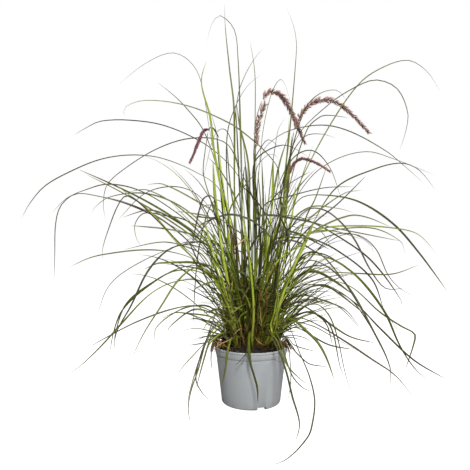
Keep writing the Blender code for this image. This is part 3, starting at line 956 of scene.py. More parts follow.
@dataclass(frozen=True)
class Leaf:
    """One leaf, as its outline shows it: a round sheath that opens into a folded blade.

    Attributes:
        azimuth: of its upright plane, in degrees (0 right, 90 back, 180 left, -90 front).
        root: distance of its root from the axis, in centimetres; negative on the other side.
        width: greatest width, in millimetres.
        tone: its colour.
        outline: its points from the root's side to its tip, in centimetres.
        taper: how late its blade narrows; 0 leaves that to chance.
        nearer: how far its plane lies before the axis, in centimetres.
    """

    azimuth: float
    root: float
    width: float
    tone: Tone
    outline: tuple[tuple[float, ...], ...]
    taper: float = 0
    nearer: float = 0

    def is_stalk(self) -> bool:
        """Whether it is a young round stalk rather than a blade."""
        return self.tone is LIME and not self.taper


@dataclass(frozen=True)
class LeafShape:
    """How sheath and blade are shaped along a leaf.

    Attributes:
        sides: points in each ring.
        fold: how steeply the halves of the blade rise from the midrib.
        thickness: of the blade, in metres.
        rib: how far the midrib stands out below, in metres.
        sheath_length: how far along the leaf the sheath ends.
        sheath_swell: the sheath's radius at its base, as a part of the blade's half width.
        sheath_end: the same where it opens.
        opening: how long the sheath takes to open, as a part of the leaf.
        shoulder: how far along the blade it is widest.
    """

    sides: int = 8
    fold: float = 0.34
    thickness: float = 0.34 * MM
    rib: float = 0.45 * MM
    sheath_length: float = 0.44
    sheath_swell: float = 0.92
    sheath_end: float = 0.7
    opening: float = 0.07
    shoulder: float = 0.16

    def rings(self, lines: np.ndarray, across: np.ndarray, half: np.ndarray, roll: np.ndarray,
              opens: np.ndarray, taper: object = 2.4) -> tuple[np.ndarray, ...]:
        """The rings of many leaves.

        Args:
            lines: centre lines, N x (S + 1) x 3; the last point is the tip.
            across: the level direction across each leaf's plane, N x 3.
            half: half of each greatest width, N.
            roll: turn of the blade along it, N x (S + 1), in radians.
            opens: how far along each leaf its sheath ends, N.
            taper: how late the blades narrow, one value or N x 1.

        Returns:
            The rings, the tips, and "along" and "cross" for each ring point.
        """
        stations = lines.shape[1] - 1
        side, up = frames(lines, across, roll)
        share = (np.arange(stations) / stations)[None, :]
        opens = opens[:, None]
        blade = np.clip((share - opens) / (1 - opens), 0, 1)
        opened = np.clip((share - opens + self.opening) / (2 * self.opening), 0, 1)
        opened = opened * opened * (3 - 2 * opened)
        broad = 0.5 + 0.5 * np.clip(blade / self.shoulder, 0, 1)
        broad = half[:, None] * broad * np.maximum(1 - blade ** taper, 0) ** 0.85
        on_sheath = np.clip(share / np.maximum(opens, 0.05), 0, 1)
        tube = half[:, None] * (self.sheath_swell - (self.sheath_swell - self.sheath_end) * on_sheath)
        turns = math.tau * np.arange(self.sides) / self.sides
        x, y = np.cos(turns), np.sin(turns)
        thin = np.clip(1.2 - blade, 0.25, 1)[:, :, None]
        keel = np.where(y < 0, np.abs(y) ** 5 * self.rib, 0.0)
        folded = broad[:, :, None] * self.fold * np.abs(x) + thin * (0.5 * self.thickness * y - keel)
        opened, broad, tube = (v[:, :, None] for v in (opened, broad, tube))
        to_side = opened * broad * x + (1 - opened) * tube * x
        to_up = opened * folded + (1 - opened) * tube * y
        rings = lines[:, :-1, None, :] + to_side[..., None] * side[:, :-1, None, :]
        rings = rings + to_up[..., None] * up[:, :-1, None, :]
        along = np.where(share < opens, BLADE_START * on_sheath, BLADE_START + (1 - BLADE_START) * blade)
        return rings, lines[:, -1], along[:, :, None], np.sign(x) * np.abs(x) ** 0.8


STALK_SHAPE = LeafShape()
BLADE_SHAPE = LeafShape(sheath_swell=0.52, sheath_end=0.44, shoulder=0.38)
FILLING_SHAPE = LeafShape(sides=6)


def build_leaves(name: str, made: tuple[np.ndarray, ...], shades: np.ndarray, slots: np.ndarray,
                 nodes: tuple[str, ...], tones: tuple[Tone, ...] = TONES) -> None:
    """Makes one piece of many leaves.

    Args:
        name: the piece's name.
        made: the rings, tips, "along" and "cross" of N leaves.
        shades: each leaf's own shade, N.
        slots: which of the tones each leaf has, N.
        nodes: the frame's nodes that the piece stands for.
        tones: the piece's tones.
    """
    strands = Strands(name)
    strands.add(*made, shades[:, None, None], slots)
    report(strands.build(leaf_materials(tones)), "leaf", *nodes)


LEFT_LEAVES = (
    Leaf(180, 2.6, 3.6, OLIVE, ((-4.2, 28), (-5, 40), (-7.5, 49.3), (-13, 53.2), (-21, 56.4), (-28, 57.1),
        (-35, 56.1), (-42, 53.3), (-48, 49.9), (-51.5, 45.9), (-53.5, 42.3))),
    Leaf(187, 0.9, 3.2, DARK, ((-1.4, 40), (-2.5, 51), (-5, 54.8), (-11, 59.8), (-20, 63.9), (-28, 65.2),
        (-35, 65), (-38.5, 63.4), (-41.5, 61.6))),
    Leaf(166, 1.3, 3.2, DARK, ((-1.8, 35), (-3, 54), (-6, 60), (-14, 61), (-22, 58.5), (-30, 53.5),
        (-33.6, 50), (-34.4, 45.5), (-33.9, 42))),
    Leaf(195, 3.4, 5.2, GREEN, ((-6, 28), (-10, 36.3), (-17, 41.8), (-24, 46.1), (-32, 50.1),
        (-40.5, 53.9))),
    Leaf(203, 4.1, 2.4, OLIVE, ((-7, 27), (-12, 36), (-20, 41.5), (-29, 45.7), (-37, 47.8), (-41, 48),
        (-44.3, 45.3), (-45.5, 41), (-45.7, 34), (-45.9, 27.5))),
    Leaf(213, 4.6, 3.2, PURPLE, ((-8, 28.5), (-16, 36), (-22, 42), (-27, 46.8), (-29.2, 47.6),
        (-31, 45.3), (-33, 40.3), (-34.6, 35), (-34.4, 32.3)), 7),
    Leaf(184, 4.9, 3.8, OLIVE, ((-7, 26), (-12, 32), (-18, 34.4), (-25, 35), (-34, 34), (-38, 33),
        (-42.5, 30.9))),
    Leaf(163, 2.9, 2.2, OLIVE, ((-4, 26), (-8, 35.5), (-14, 36.6), (-22, 34), (-30, 29.6), (-33.5, 26),
        (-35.6, 20.5), (-36, 18.5))),
    Leaf(224, 3.3, 5, DARK, ((-5, 26), (-10, 34.5), (-15, 36.2), (-19.5, 34.8), (-24, 30), (-28, 21.8),
        (-31, 16.5), (-31.8, 13), (-31.3, 10.7))),
    Leaf(150, 4.3, 4.6, GREEN, ((-5, 24), (-9, 30.5), (-16, 31), (-24, 26.6), (-30, 21), (-32, 16),
        (-33, 10.5))),
    Leaf(236, 4.6, 5, GREEN, ((-5.5, 22), (-9.5, 29.5), (-13, 30.8), (-17, 27.8), (-21, 21.8), (-25, 15.5),
        (-28.3, 8.7)), 2.2),
    Leaf(176, 5.2, 6, GREEN, ((-7, 23), (-12, 27.8), (-18.5, 27.4), (-24, 24.3), (-30, 18), (-35, 12.5),
        (-40, 7.8), (-44, 5.2)), 1.8),
    Leaf(198, 5.5, 4, OLIVE, ((-7.5, 19), (-12, 21.9), (-18, 21.3), (-26, 18.5), (-33, 15), (-38, 12.2))),
    Leaf(233, 3, 3.4, PURPLE, ((-3.8, 22), (-5.3, 26.6), (-7.2, 22.6), (-10, 15.2), (-12.3, 7), (-14, 2),
        (-14.6, -2), (-13.9, -6.6))),
    Leaf(157, 1.7, 1.7, OLIVE, ((-3.4, 30), (-6.5, 46), (-9.5, 62), (-12, 75.3), (-15, 79.6), (-19, 80.9),
        (-25, 78.2), (-31.2, 73.3))),
    Leaf(173, 3.6, 6, GREEN, ((-3.9, 30), (-3.9, 50), (-4, 68), (-5, 77), (-6, 87), (-6.2, 92.6)), 1.6),
    Leaf(198, 1.9, 8.5, GREEN, ((-2.1, 30), (-2.2, 50), (-2.6, 66), (-3.1, 80), (-4, 86.5), (-7.2, 89.6),
        (-9.2, 87.5), (-10.3, 83.3)), 0.8),
    Leaf(209, 2.4, 9.5, LIME, ((-4, 30), (-6.5, 46), (-8.7, 58), (-9.6, 66), (-11.6, 74),
        (-10.4, 79.2)), 2),
    Leaf(142, 2.5, 2.6, OLIVE, ((-4, 28), (-7, 40), (-12, 47.5), (-18, 49.8), (-25, 48), (-31, 42))),
)

RIGHT_LEAVES = (
    Leaf(-12, 2.2, 2.5, DARK, ((3.6, 30), (7, 48), (10.6, 61), (18, 68.8), (25, 73.3), (29.3, 74.6),
        (34, 72.6), (36.5, 67), (36, 62.5), (34.5, 58))),
    Leaf(8, 2.7, 4.6, GREEN, ((4.5, 28), (8, 42.5), (12, 52), (18.5, 64.2), (25, 73.5), (30, 77.2),
        (36.5, 79.2), (41, 76.6), (44.2, 71.7)), 1.7),
    Leaf(21, 0.8, 3.2, OLIVE, ((1.1, 36), (2.4, 57), (6.5, 61.6), (12, 63.6), (18, 64), (24, 62.2),
        (31.5, 58), (35, 55.2), (40.2, 50.6))),
    Leaf(-24, 3.1, 2.4, PURPLE, ((5, 30), (9, 44), (14, 52), (20, 56.2), (27, 57.9), (33, 56.3),
        (43, 52.4))),
    Leaf(-38, 3.9, 3.8, GREEN, ((6.5, 24), (10, 32), (14.3, 41), (20, 49.6), (29, 53.9), (35, 55.2),
        (39, 53.7), (43, 49))),
    Leaf(3, 4, 5, OLIVE, ((5.2, 26), (7.5, 40), (11.5, 47), (17, 47.8), (25, 46.3), (33, 41.2), (39, 34.5),
        (46, 25))),
    Leaf(-17, 4.4, 4.6, PURPLE, ((6, 26), (9, 39.5), (13.5, 44.5), (18, 43.8), (23.5, 38.3), (28, 30),
        (31.5, 26), (36.5, 26.3))),
    Leaf(-6, 5, 5, GREEN, ((7, 24), (11, 36), (16, 39.8), (25, 40.6), (34, 40), (39, 38.6),
        (43.5, 33.8)), 1.8),
    Leaf(33, 1.8, 4, GREEN, ((2.1, 26), (3.4, 39.5), (6, 42.9), (12, 41.8), (20, 40), (29, 38.2),
        (35.2, 37))),
    Leaf(-31, 5.1, 3, PURPLE, ((8, 25), (14, 33.5), (20.5, 38.2), (25, 38.4), (29, 35.3), (32, 29),
        (35, 25.8), (38.3, 24.2))),
    Leaf(-21, 5.6, 6.4, GREEN, ((8, 26), (12, 33.3), (17, 33.5), (24, 29.4), (30.8, 21), (34.6, 12.7),
        (38, 7.5), (41.7, 4.2))),
    Leaf(14, 4.9, 4.8, GREEN, ((6.5, 23), (11, 29), (17, 29.8), (25, 29.5), (33, 29.4), (39.5, 31.7))),
    Leaf(10, 5.8, 5, GREEN, ((8.5, 22), (13, 27.2), (18, 28), (23.5, 26.3), (30, 20.5), (35, 17.2),
        (38.1, 15.4), (38, 13.5), (35.8, 6.7)), 6),
    Leaf(-2, 6, 4.4, OLIVE, ((8.2, 21), (12, 26.6), (18, 26.2), (24, 22.9), (30, 16.8), (38, 9.3),
        (46, 4.6))),
    Leaf(-44, 4.9, 5, OLIVE, ((7.5, 26), (13, 32.4), (18, 31), (23, 26), (28.5, 16.2), (32.3, 8),
        (32.5, 2.6))),
    Leaf(-12, 6.2, 6.6, PURPLE, ((8.3, 17.6), (11, 19.2), (15, 17.8), (22, 13.6), (28, 9.6), (33.3, 6),
        (36.8, 2), (38.6, -1)), 2),
    Leaf(-53, 5.2, 6, GREEN, ((6.7, 18), (9.5, 18.8), (13, 16), (15.5, 13.5), (17.5, 10), (19.5, 4.5))),
    Leaf(27, 5.5, 6, GREEN, ((7.5, 19.5), (11.5, 22), (17, 18.7), (23, 14.8), (29, 13.3))),
    Leaf(-62, 3.6, 3.6, OLIVE, ((4.2, 20, -6.2), (8.2, 18, -8.4), (11.4, 10.8, -9), (13.6, 5.5, -9.5),
        (14.8, 0.1, -11.5), (14.2, -5.8, -16.5), (13, -9, -21), (8.2, -13.9, -29.4), (3.3, -16.1, -32.6))),
    Leaf(-68, 4.6, 4.8, OLIVE, ((3.8, 16.5, -7.6), (5.8, 12.9, -9.6), (7.2, 9.8, -11.4), (8.4, 6.1, -14),
        (9.6, 1, -17.5), (11.3, -5.5, -21.5), (10.2, -10.2, -23.8))),
    Leaf(-86, 4.1, 8, GREEN, ((-0.2, 16, -6.6), (-0.4, 13, -9.4), (-0.1, 8.9, -10), (0.7, 6.1, -10),
        (1.5, 2.9, -10), (1.6, -1.1, -9.8)), 4),
    Leaf(-129, 5, 4.6, GREEN, ((-4.4, 14.6, -6.8), (-5.4, 11.7, -8.6), (-5.9, 8.2, -9), (-6.6, 4.3, -9),
        (-7, 2.7, -8.8))),
)

# Leaves that lean straight away from the viewer or towards them: (distance from the axis, height) in cm
BACK_AND_FRONT_LEAVES = (
    Leaf(92, 2.8, 4.4, OLIVE, ((4, 25), (8, 42), (16, 54), (26, 58), (36, 54), (43, 44), (47, 33))),
    Leaf(70, 3.8, 4.4, GREEN, ((5, 24), (8, 38), (14, 47), (24, 50), (33, 44), (39, 33), (43, 14))),
    Leaf(114, 4.2, 4.4, OLIVE, ((5, 24), (8, 36), (14, 45), (23, 48), (32, 41), (38, 29), (42, 7))),
    Leaf(50, 2.6, 4, GREEN, ((4, 26), (8, 45), (17, 58), (28, 62), (38, 58), (45, 49))),
    Leaf(81, 5.2, 4, OLIVE, ((7, 21), (11, 28), (17, 31), (25, 26), (31, 16), (35, 5))),
    Leaf(-76, 2.4, 1.5, GREEN, ((3.4, 30), (5, 46), (9, 60), (15, 67), (21, 68), (27, 61))),
    Leaf(-108, 3, 1.6, GREEN, ((4, 28), (6, 42), (10, 53), (17, 59), (24, 57), (30, 48))),
)

EXTRA_LEAVES = {
    "high_blades_left": (
        Leaf(184, -3.2, 4, OLIVE, ((4.2, 35), (6.3, 51.5), (6.3, 54), (3.5, 57.7), (0, 60.9), (-5, 64.5),
            (-15, 68.6), (-25, 69.8), (-29.7, 67.9), (-29, 65.7))),
        Leaf(150, 2.5, 3, OLIVE, ((-4, 35), (-8, 54), (-11.2, 63), (-15.3, 68.3), (-18, 71), (-22, 74.2))),
        Leaf(195, 2.2, 3, OLIVE, ((-5, 40), (-7.5, 55), (-8, 62), (-9.7, 68))),
        Leaf(180, -0.5, 3, GREEN, ((0.3, 30), (1, 72), (0.7, 78), (-0.3, 84))),
        Leaf(168, 2.5, 4, OLIVE, ((-4, 28), (-8, 39), (-14, 49.4), (-19, 55))),
        Leaf(158, 2.5, 3, GREEN, ((-3.6, 28), (-6.5, 40), (-8.5, 45), (-12, 50.6), (-15.5, 54))),
        Leaf(200, 2, 4, BROWN, ((-10, 62.8), (-9.4, 63.6), (-8.7, 63.3), (-7.4, 61.1))),
    ),
    "high_blades_right": (
        Leaf(-4, -2.5, 3, OLIVE, ((-4.5, 35), (-5.6, 52), (-5.5, 62), (-4, 67.5), (-1, 73), (2.5, 76))),
        Leaf(-2, -1.8, 3, GREEN, ((-3.4, 40), (-3.9, 60), (-3, 71), (-1, 76.5), (1.5, 80.5), (3.3, 82.5))),
        Leaf(5, 2.4, 5, GREEN, ((5, 36), (7.8, 52), (10.6, 81.5), (10.1, 86.5), (8.3, 91.5)), 1.2),
        Leaf(-28, 2, 3, OLIVE, ((5, 38), (9.5, 58), (12.7, 68), (16, 71.4), (20, 72.2), (22.3, 69.8))),
        Leaf(25, 2, 3, OLIVE, ((5, 40), (9, 56), (12.5, 61.4), (16.4, 62), (20, 61))),
        Leaf(20, 2, 3, OLIVE, ((9, 50), (13, 63), (16, 66), (18, 66.4), (23, 65.8))),
        Leaf(-10, 1.8, 3, GREEN, ((3.5, 40), (6.2, 62.5), (8.2, 66.2))),
        Leaf(8, 2.3, 5, GREEN, ((3.4, 28), (4.5, 41), (5.5, 49.5), (6.9, 56), (8.8, 61.8))),
        Leaf(-10, 3.4, 5, GREEN, ((5, 26), (6.9, 38), (8.7, 54.5), (10.4, 62))),
        Leaf(12, 0.8, 5, OLIVE, ((1.2, 28), (1.4, 38), (0.5, 60))),
        Leaf(-14, 0.9, 4, OLIVE, ((0.9, 35), (1, 56.2), (2, 58.3), (4, 60.7), (7, 58.6))),
        Leaf(-25, 1, 4, OLIVE, ((0.9, 35), (0.6, 48), (0.8, 55.3), (3.5, 58), (8, 59.4), (13.8, 56.5))),
        Leaf(-5, 1.1, 4, OLIVE, ((1.1, 35), (1.2, 53.5), (3.7, 57), (5.5, 57.2), (6.5, 55.6))),
        Leaf(18, 3.8, 4, GREEN, ((6.5, 25), (10, 34), (13, 43), (15, 47), (18, 55.5))),
        Leaf(26, 2.6, 4, OLIVE, ((4.5, 28), (6.5, 40), (8, 45), (12, 50.7), (15.5, 54.3))),
    ),
    "middle_blades_left": (
        Leaf(200, 3.9, 4, GREEN, ((-6.5, 27), (-11, 35.5), (-18, 41.2), (-30, 48.3), (-38.5, 52.7))),
        Leaf(172, 3.5, 4, OLIVE, ((-6, 30), (-12, 39), (-20, 45.5), (-27, 49.2), (-33.5, 50.3), (-38.5, 49),
            (-43, 47), (-46.5, 43.5))),
        Leaf(160, 3, 4, GREEN, ((-5, 30), (-10, 39.5), (-17, 45.5), (-25, 48.2), (-33, 47.3), (-36.5, 44.8),
            (-37, 43.5))),
        Leaf(190, 3.5, 4, OLIVE, ((-6, 28), (-12, 37.5), (-20, 43.2), (-24, 44.3), (-30, 42.6))),
        Leaf(152, 3.4, 4, GREEN, ((-5, 28), (-10, 38.5), (-15.5, 42), (-20, 43), (-25, 43.5), (-27, 41),
            (-26.7, 37.8), (-25.3, 35.5))),
        Leaf(205, 3.2, 4, GREEN, ((-6, 34), (-8, 36.8), (-14, 38.7), (-20, 39.9), (-28, 40.7))),
        Leaf(214, 3, 5, PURPLE, ((-5.5, 28), (-7.4, 38), (-8.2, 45.8), (-9.5, 47.6), (-11.3, 46.5),
            (-14, 35))),
        Leaf(147, 2.8, 4, GREEN, ((-3.6, 28), (-6, 38), (-8, 43), (-11, 45.4), (-20.5, 50.3),
            (-24.5, 50.2))),
        Leaf(188, 4, 4, OLIVE, ((-6, 28), (-10, 38), (-16, 44.3), (-24, 48.9), (-29, 48.5))),
        Leaf(194, 4, 3, GREEN, ((-8.6, 34), (-11, 38), (-18.5, 46))),
        Leaf(200, 3, 3, GREEN, ((-7.4, 38), (-9, 42.2), (-15, 43.8), (-18, 43.9))),
        Leaf(200, 4.3, 4, GREEN, ((-7, 26), (-11, 33.5), (-16, 36), (-21, 36.8), (-30, 35))),
        Leaf(174, 3.8, 3, OLIVE, ((-6.5, 34), (-8, 36.7), (-12, 37), (-19, 35.5))),
        Leaf(205, 4, 7, GREEN, ((-7, 27.3), (-9.5, 28.8), (-12.5, 31.3), (-14, 33.5))),
        Leaf(190, 3, 4, OLIVE, ((-6.5, 40.5), (-8.3, 42.2), (-10, 42.5), (-13.5, 42.8))),
        Leaf(196, 3, 4, OLIVE, ((-6.8, 42.2), (-8.2, 42.3), (-11, 41.3), (-12.5, 40))),
    ),
    "low_blades_left": (
        Leaf(208, 4.3, 5, GREEN, ((-6.3, 25), (-9, 31), (-21, 32), (-25, 30.5))),
        Leaf(178, 4.3, 4, OLIVE, ((-7, 25), (-11, 30), (-16, 31.3), (-20, 31.7))),
        Leaf(221, 4, 5, GREEN, ((-5.6, 24), (-7, 27.3), (-9, 27.6), (-12.5, 26.3), (-14, 25))),
        Leaf(187, 4.3, 4, OLIVE, ((-5.5, 18.5), (-7, 21.7), (-15.5, 26.5))),
        Leaf(161, 4.3, 5, GREEN, ((-6, 22), (-11, 29.3), (-17, 30.2), (-22, 28), (-29, 22.5), (-31.6, 15.5),
            (-31.8, 12.5))),
        Leaf(215, 4.3, 4, OLIVE, ((-6, 18), (-9.5, 21.7), (-13, 22), (-17, 20.8), (-21, 18.5))),
        Leaf(190, 4.3, 5, GREEN, ((-6.4, 17), (-9, 19.3), (-15, 20.2), (-18, 20.3), (-21, 18.8))),
        Leaf(170, 4.3, 4, GREEN, ((-7, 19), (-12, 21.8), (-16, 21.3), (-22, 17), (-22.5, 13))),
        Leaf(165, 4.3, 4, GREEN, ((-6.5, 18.5), (-11, 21), (-14, 20.9), (-19, 17), (-19.5, 15.5))),
        Leaf(224, 4.3, 3.2, GREEN, ((-5, 17.5), (-7.2, 20), (-9.5, 19), (-11.6, 15.5))),
        Leaf(222, 4.2, 4.4, GREEN, ((-4.5, 17.5), (-7, 17.8), (-9, 16.3), (-11.5, 11), (-14.3, 2),
            (-14.9, -1.5))),
        Leaf(226, 4.3, 3, OLIVE, ((-4.6, 17), (-7.5, 18.5), (-10, 15), (-12, 9.5), (-12.8, 4.8), (-11, 1.3),
            (-9, -0.4))),
        Leaf(205, 4.3, 3, GREEN, ((-7.5, 15.5), (-15, 8.8), (-17.6, 5.3))),
        Leaf(185, 4.3, 3, OLIVE, ((-8, 15), (-10, 13.6), (-15, 12.7))),
        Leaf(212, 4.3, 3, PURPLE, ((-7, 15), (-8.7, 13.5), (-9.3, 10), (-9, 6.5))),
    ),
    "middle_blades_right": (
        Leaf(36, 1.6, 4, OLIVE, ((2, 30), (2.6, 42), (3.3, 45.7), (9, 47.6), (17, 49.5), (24, 49.8))),
        Leaf(-28, 4.3, 4, GREEN, ((5, 36.5), (9, 38), (18, 39.5), (26, 37.5))),
        Leaf(15, 4.3, 4.6, GREEN, ((7, 32), (11, 36.4), (16, 40.2), (23, 43), (27, 42.6), (32.5, 40.4))),
        Leaf(-40, 3.5, 4, OLIVE, ((3.4, 30), (5, 37.2), (13, 37.8), (16, 37))),
        Leaf(-14, 4.3, 4, OLIVE, ((4.5, 37), (9, 38.6), (13.8, 37.8), (20, 34.9), (28, 28.4), (31, 21))),
        Leaf(22, 3.9, 5, OLIVE, ((4, 43), (9, 43), (13, 42), (20, 38.3), (28, 32.5), (34.8, 23.5),
            (35.3, 20.8))),
        Leaf(6, 4.3, 4, OLIVE, ((6, 36), (11, 38), (17, 39.3), (28, 40.1), (34.8, 37), (36, 33.7))),
        Leaf(-33, 4.3, 3, OLIVE, ((9, 32), (13, 35.6), (19, 38.5), (24, 38.6), (28, 36), (28.4, 34.3))),
        Leaf(30, 4.3, 2.6, PURPLE, ((8, 27.6), (19.3, 32.4), (26.8, 35))),
        Leaf(11, 3.6, 4, GREEN, ((5.5, 28), (10, 38.5), (15, 43.5), (22, 48.3), (26, 48.9))),
        Leaf(-20, 3.6, 4, GREEN, ((5.5, 28), (9.5, 41.5), (14, 45), (20, 44.7), (24, 43.7))),
        Leaf(4, 3.8, 4, OLIVE, ((5.5, 27), (10, 36), (15, 41.5), (20.5, 46), (27, 52.5))),
    ),
    "low_blades_right": (
        Leaf(-26, 4.3, 4, OLIVE, ((8, 21.5), (12, 24.3), (18, 22.8), (22, 21), (25.5, 16.8))),
        Leaf(5, 4.3, 4, GREEN, ((8, 21), (12, 23.5), (19, 22.2))),
        Leaf(-36, 4.3, 5, OLIVE, ((8.4, 22.5), (13, 26), (17, 26.8), (20, 25.2), (26.5, 20))),
        Leaf(-10, 4.3, 7, GREEN, ((8, 24), (12, 29.5), (15, 30), (19, 28), (24, 24.5))),
        Leaf(17, 4.3, 4, OLIVE, ((7, 25), (12, 33.8), (16, 34.2), (19, 33), (23, 30))),
        Leaf(-30, 4.3, 3.4, OLIVE, ((8, 25.5), (12, 33.6), (15.5, 34.4), (21, 28.5), (27.5, 18))),
        Leaf(20, 4.3, 4, OLIVE, ((9, 20), (14, 23.5), (20, 22), (25.5, 16.7))),
        Leaf(24, 4.3, 3.6, OLIVE, ((10, 24), (16, 27), (23, 23.6), (27, 18.4), (31, 11))),
        Leaf(-16, 4.3, 3.4, GREEN, ((9.6, 20), (15, 22.4), (18, 20), (20, 15), (22, 6), (24, 0))),
        Leaf(2, 4.3, 3.4, OLIVE, ((9.4, 19), (14, 20.6), (17.6, 17.6), (19, 12.6))),
        Leaf(14, 4.3, 3, OLIVE, ((9, 18), (14, 17.4), (19, 14.8), (25, 11.4))),
        Leaf(30, 4.3, 3, GREEN, ((10, 28), (18, 33), (26, 27.6), (31, 21), (35.5, 14.2))),
        Leaf(12, 4.3, 4, GREEN, ((8, 16), (10.5, 17), (18, 13), (24, 11.8))),
        Leaf(-50, 4.3, 4, GREEN, ((5.2, 15), (8.5, 8), (13.3, 3.3))),
        Leaf(-46, 4.3, 4, OLIVE, ((5.8, 15.5), (9.5, 6), (12, 3), (14.3, 2))),
        Leaf(-40, 4.3, 3, PURPLE, ((6.8, 15), (8.6, 12), (9.2, 7), (9.2, 4), (8.5, -1))),
        Leaf(-20, 4.3, 3, OLIVE, ((7.8, 15), (9.5, 12.3), (12.5, 9.2), (14, 8.3), (18, 7.8))),
        Leaf(-8, 4.3, 3, OLIVE, ((8, 15), (10, 12.9), (14, 11.6), (16, 11.3))),
        Leaf(-30, 4.3, 4, OLIVE, ((8.2, 18.5), (13, 20.5), (17, 19), (19, 16), (20.7, 8), (22.3, 4))),
    ),
    "front_blades": (
        Leaf(-90, 3.4, 6.4, LIME, ((0.3, 15, -4), (0.6, 19, -5), (0.5, 24, -6), (-0.6, 35, -7.6),
            (-1.9, 43, -9))),
        Leaf(-100, 4.3, 3, OLIVE, ((-0.6, 14.5, -7), (-0.7, 12.6, -9), (-1.2, 10.8, -9.6),
            (-3.7, 8, -9.2))),
        Leaf(-112, 4, 3.4, STRAW, ((-1.6, 13), (-2.3, 16), (-2.35, 17.8))),
        Leaf(-70, 4, 1.8, STRAW, ((2.5, 17.3), (1.9, 23))),
        Leaf(-62, 4.2, 2.4, STRAW, ((2.5, 17.2), (1.2, 19.2))),
        Leaf(-58, 3.6, 3, STRAW, ((2.6, 17.2), (4, 19.5))),
        Leaf(-74, 4.3, 3, STRAW, ((1, 15), (1.3, 14), (3, 12.8))),
        Leaf(-96, 2, 3, STRAW, ((-0.6, 33), (-0.8, 36.6), (-1.4, 37.5), (-3.9, 35.6), (-4.9, 35.3))),
        Leaf(200, 4.3, 2.8, STRAW, ((-4.9, 15.8), (-5.6, 15.9), (-9.2, 12.2))),
        Leaf(215, 3.6, 3.6, STRAW, ((-3.6, 14.6), (-7.2, 13), (-8.9, 11.7))),
        Leaf(196, 4.3, 5.4, STRAW, ((-7.6, 13.8), (-8.6, 13.3), (-9.1, 12.3), (-9, 11.2))),
        Leaf(206, 4.3, 4.6, LIME, ((-5, 15.8), (-6.6, 15.7), (-8, 14.9), (-9.3, 13.6), (-10.2, 12),
            (-11, 9))),
        Leaf(210, 4.3, 4.6, GREEN, ((-5.4, 17), (-7, 16.9), (-8.5, 15.8), (-9.6, 14), (-13, 2))),
    ),
    "stalks_left": (
        Leaf(230, 1.6, 4, DARK, ((-2.2, 24), (-3.2, 30), (-3.5, 35), (-3.9, 40)), nearer=2),
        Leaf(226, 2, 3.6, BROWN, ((-3.6, 31), (-4, 35), (-4.2, 39.6), (-5.4, 41.4)), nearer=2.6),
        Leaf(238, 1.4, 3, BROWN, ((-2.4, 30), (-3, 35), (-3.4, 38.6)), nearer=2.4),
        Leaf(240, 1, 4, DARK, ((-1, 26), (-1.7, 31), (-2.2, 35.4)), nearer=2),
        Leaf(240, 1, 3, OLIVE, ((-2.6, 27), (-4.4, 33), (-4.6, 37.4)), nearer=2),
        Leaf(205, 3.8, 5, LIME, ((-5.6, 23), (-11.3, 40)), nearer=1),
        Leaf(196, 3.9, 4.6, LIME, ((-5.4, 24), (-7.8, 32.5), (-8.9, 39.5))),
        Leaf(208, 3.6, 9, LIME, ((-5, 25), (-6.5, 33.5), (-7.5, 40.1), (-8.4, 46.7), (-8.9, 56)), nearer=1),
        Leaf(198, 3.4, 5, GREEN, ((-4.4, 22), (-6.4, 41.5), (-7.8, 56))),
        Leaf(190, 2.2, 6, LIME, ((-3.2, 26), (-5.1, 43), (-6.7, 50.5), (-8, 62))),
        Leaf(186, 2, 4, GREEN, ((-3, 30), (-3.9, 43.5), (-4.9, 50.5), (-5.8, 62))),
        Leaf(180, 1, 3.6, OLIVE, ((-1.8, 30), (-3.6, 69))),
        Leaf(195, 0.5, 6, GREEN, ((-0.3, 24), (0.1, 36), (-0.45, 45), (-0.4, 51), (-1, 57), (-2.7, 64),
            (-3.3, 69))),
        Leaf(214, 4.3, 5.4, LIME, ((-5.6, 24), (-7, 29.3), (-9.4, 36), (-11, 42.5))),
        Leaf(206, 4.3, 7, GREEN, ((-6.6, 25), (-8.6, 28.2), (-16.7, 36.2), (-23.7, 44), (-31.8, 50.4)), 3),
        Leaf(203, 4.3, 5, PURPLE, ((-7, 25), (-12, 34), (-20, 41.5), (-29, 45.9), (-39.3, 48.3)), 2.6),
        Leaf(216, 3.4, 4, OLIVE, ((-7, 21), (-15, 38))),
        Leaf(200, 2, 3.4, BROWN, ((-3.4, 26), (-4.4, 39), (-5.2, 41), (-6.3, 42))),
        Leaf(205, 2.4, 3.6, DARK, ((-3.2, 24), (-3.4, 36), (-3.8, 40))),
        Leaf(200, 4.2, 5, LIME, ((-4.3, 17.6), (-5.2, 23), (-5.8, 31))),
        Leaf(210, 3, 5, LIME, ((-4.6, 18), (-4.4, 29), (-4.8, 34))),
        Leaf(238, 2.6, 4.4, GREEN, ((-1.2, 12.8), (-3.6, 19), (-5.2, 27))),
    ),
    "stalks_right": (
        Leaf(-60, 1.6, 6, DARK, ((1.4, 22), (1.9, 28), (2.2, 33), (2.8, 38)), nearer=1.6),
        Leaf(-50, 2.2, 6, BROWN, ((1.4, 21), (2.2, 24), (2.6, 27.4)), nearer=3),
        Leaf(-44, 2.8, 6, BROWN, ((3.4, 20), (3.6, 23), (3.2, 26)), nearer=3),
        Leaf(-40, 3, 6, DARK, ((5, 22), (5.8, 27), (6.2, 31), (7, 34)), nearer=2),
        Leaf(-14, 1.8, 6, LIME, ((2.5, 24), (4.9, 45.5), (5.2, 57))),
        Leaf(-6, 3, 6.4, GREEN, ((4.9, 24), (5.8, 27), (7.8, 41), (9.6, 62))),
        Leaf(4, 3.6, 5, LIME, ((6, 26), (7.6, 32), (9.4, 41), (10.4, 50))),
        Leaf(-38, 4.1, 8, LIME, ((6.9, 23), (8.2, 26.8), (14.8, 42))),
        Leaf(-30, 4.3, 5, LIME, ((7.4, 24), (12.5, 36.8))),
        Leaf(-20, 1.4, 4.6, GREEN, ((3, 30), (3.6, 39), (3.3, 49))),
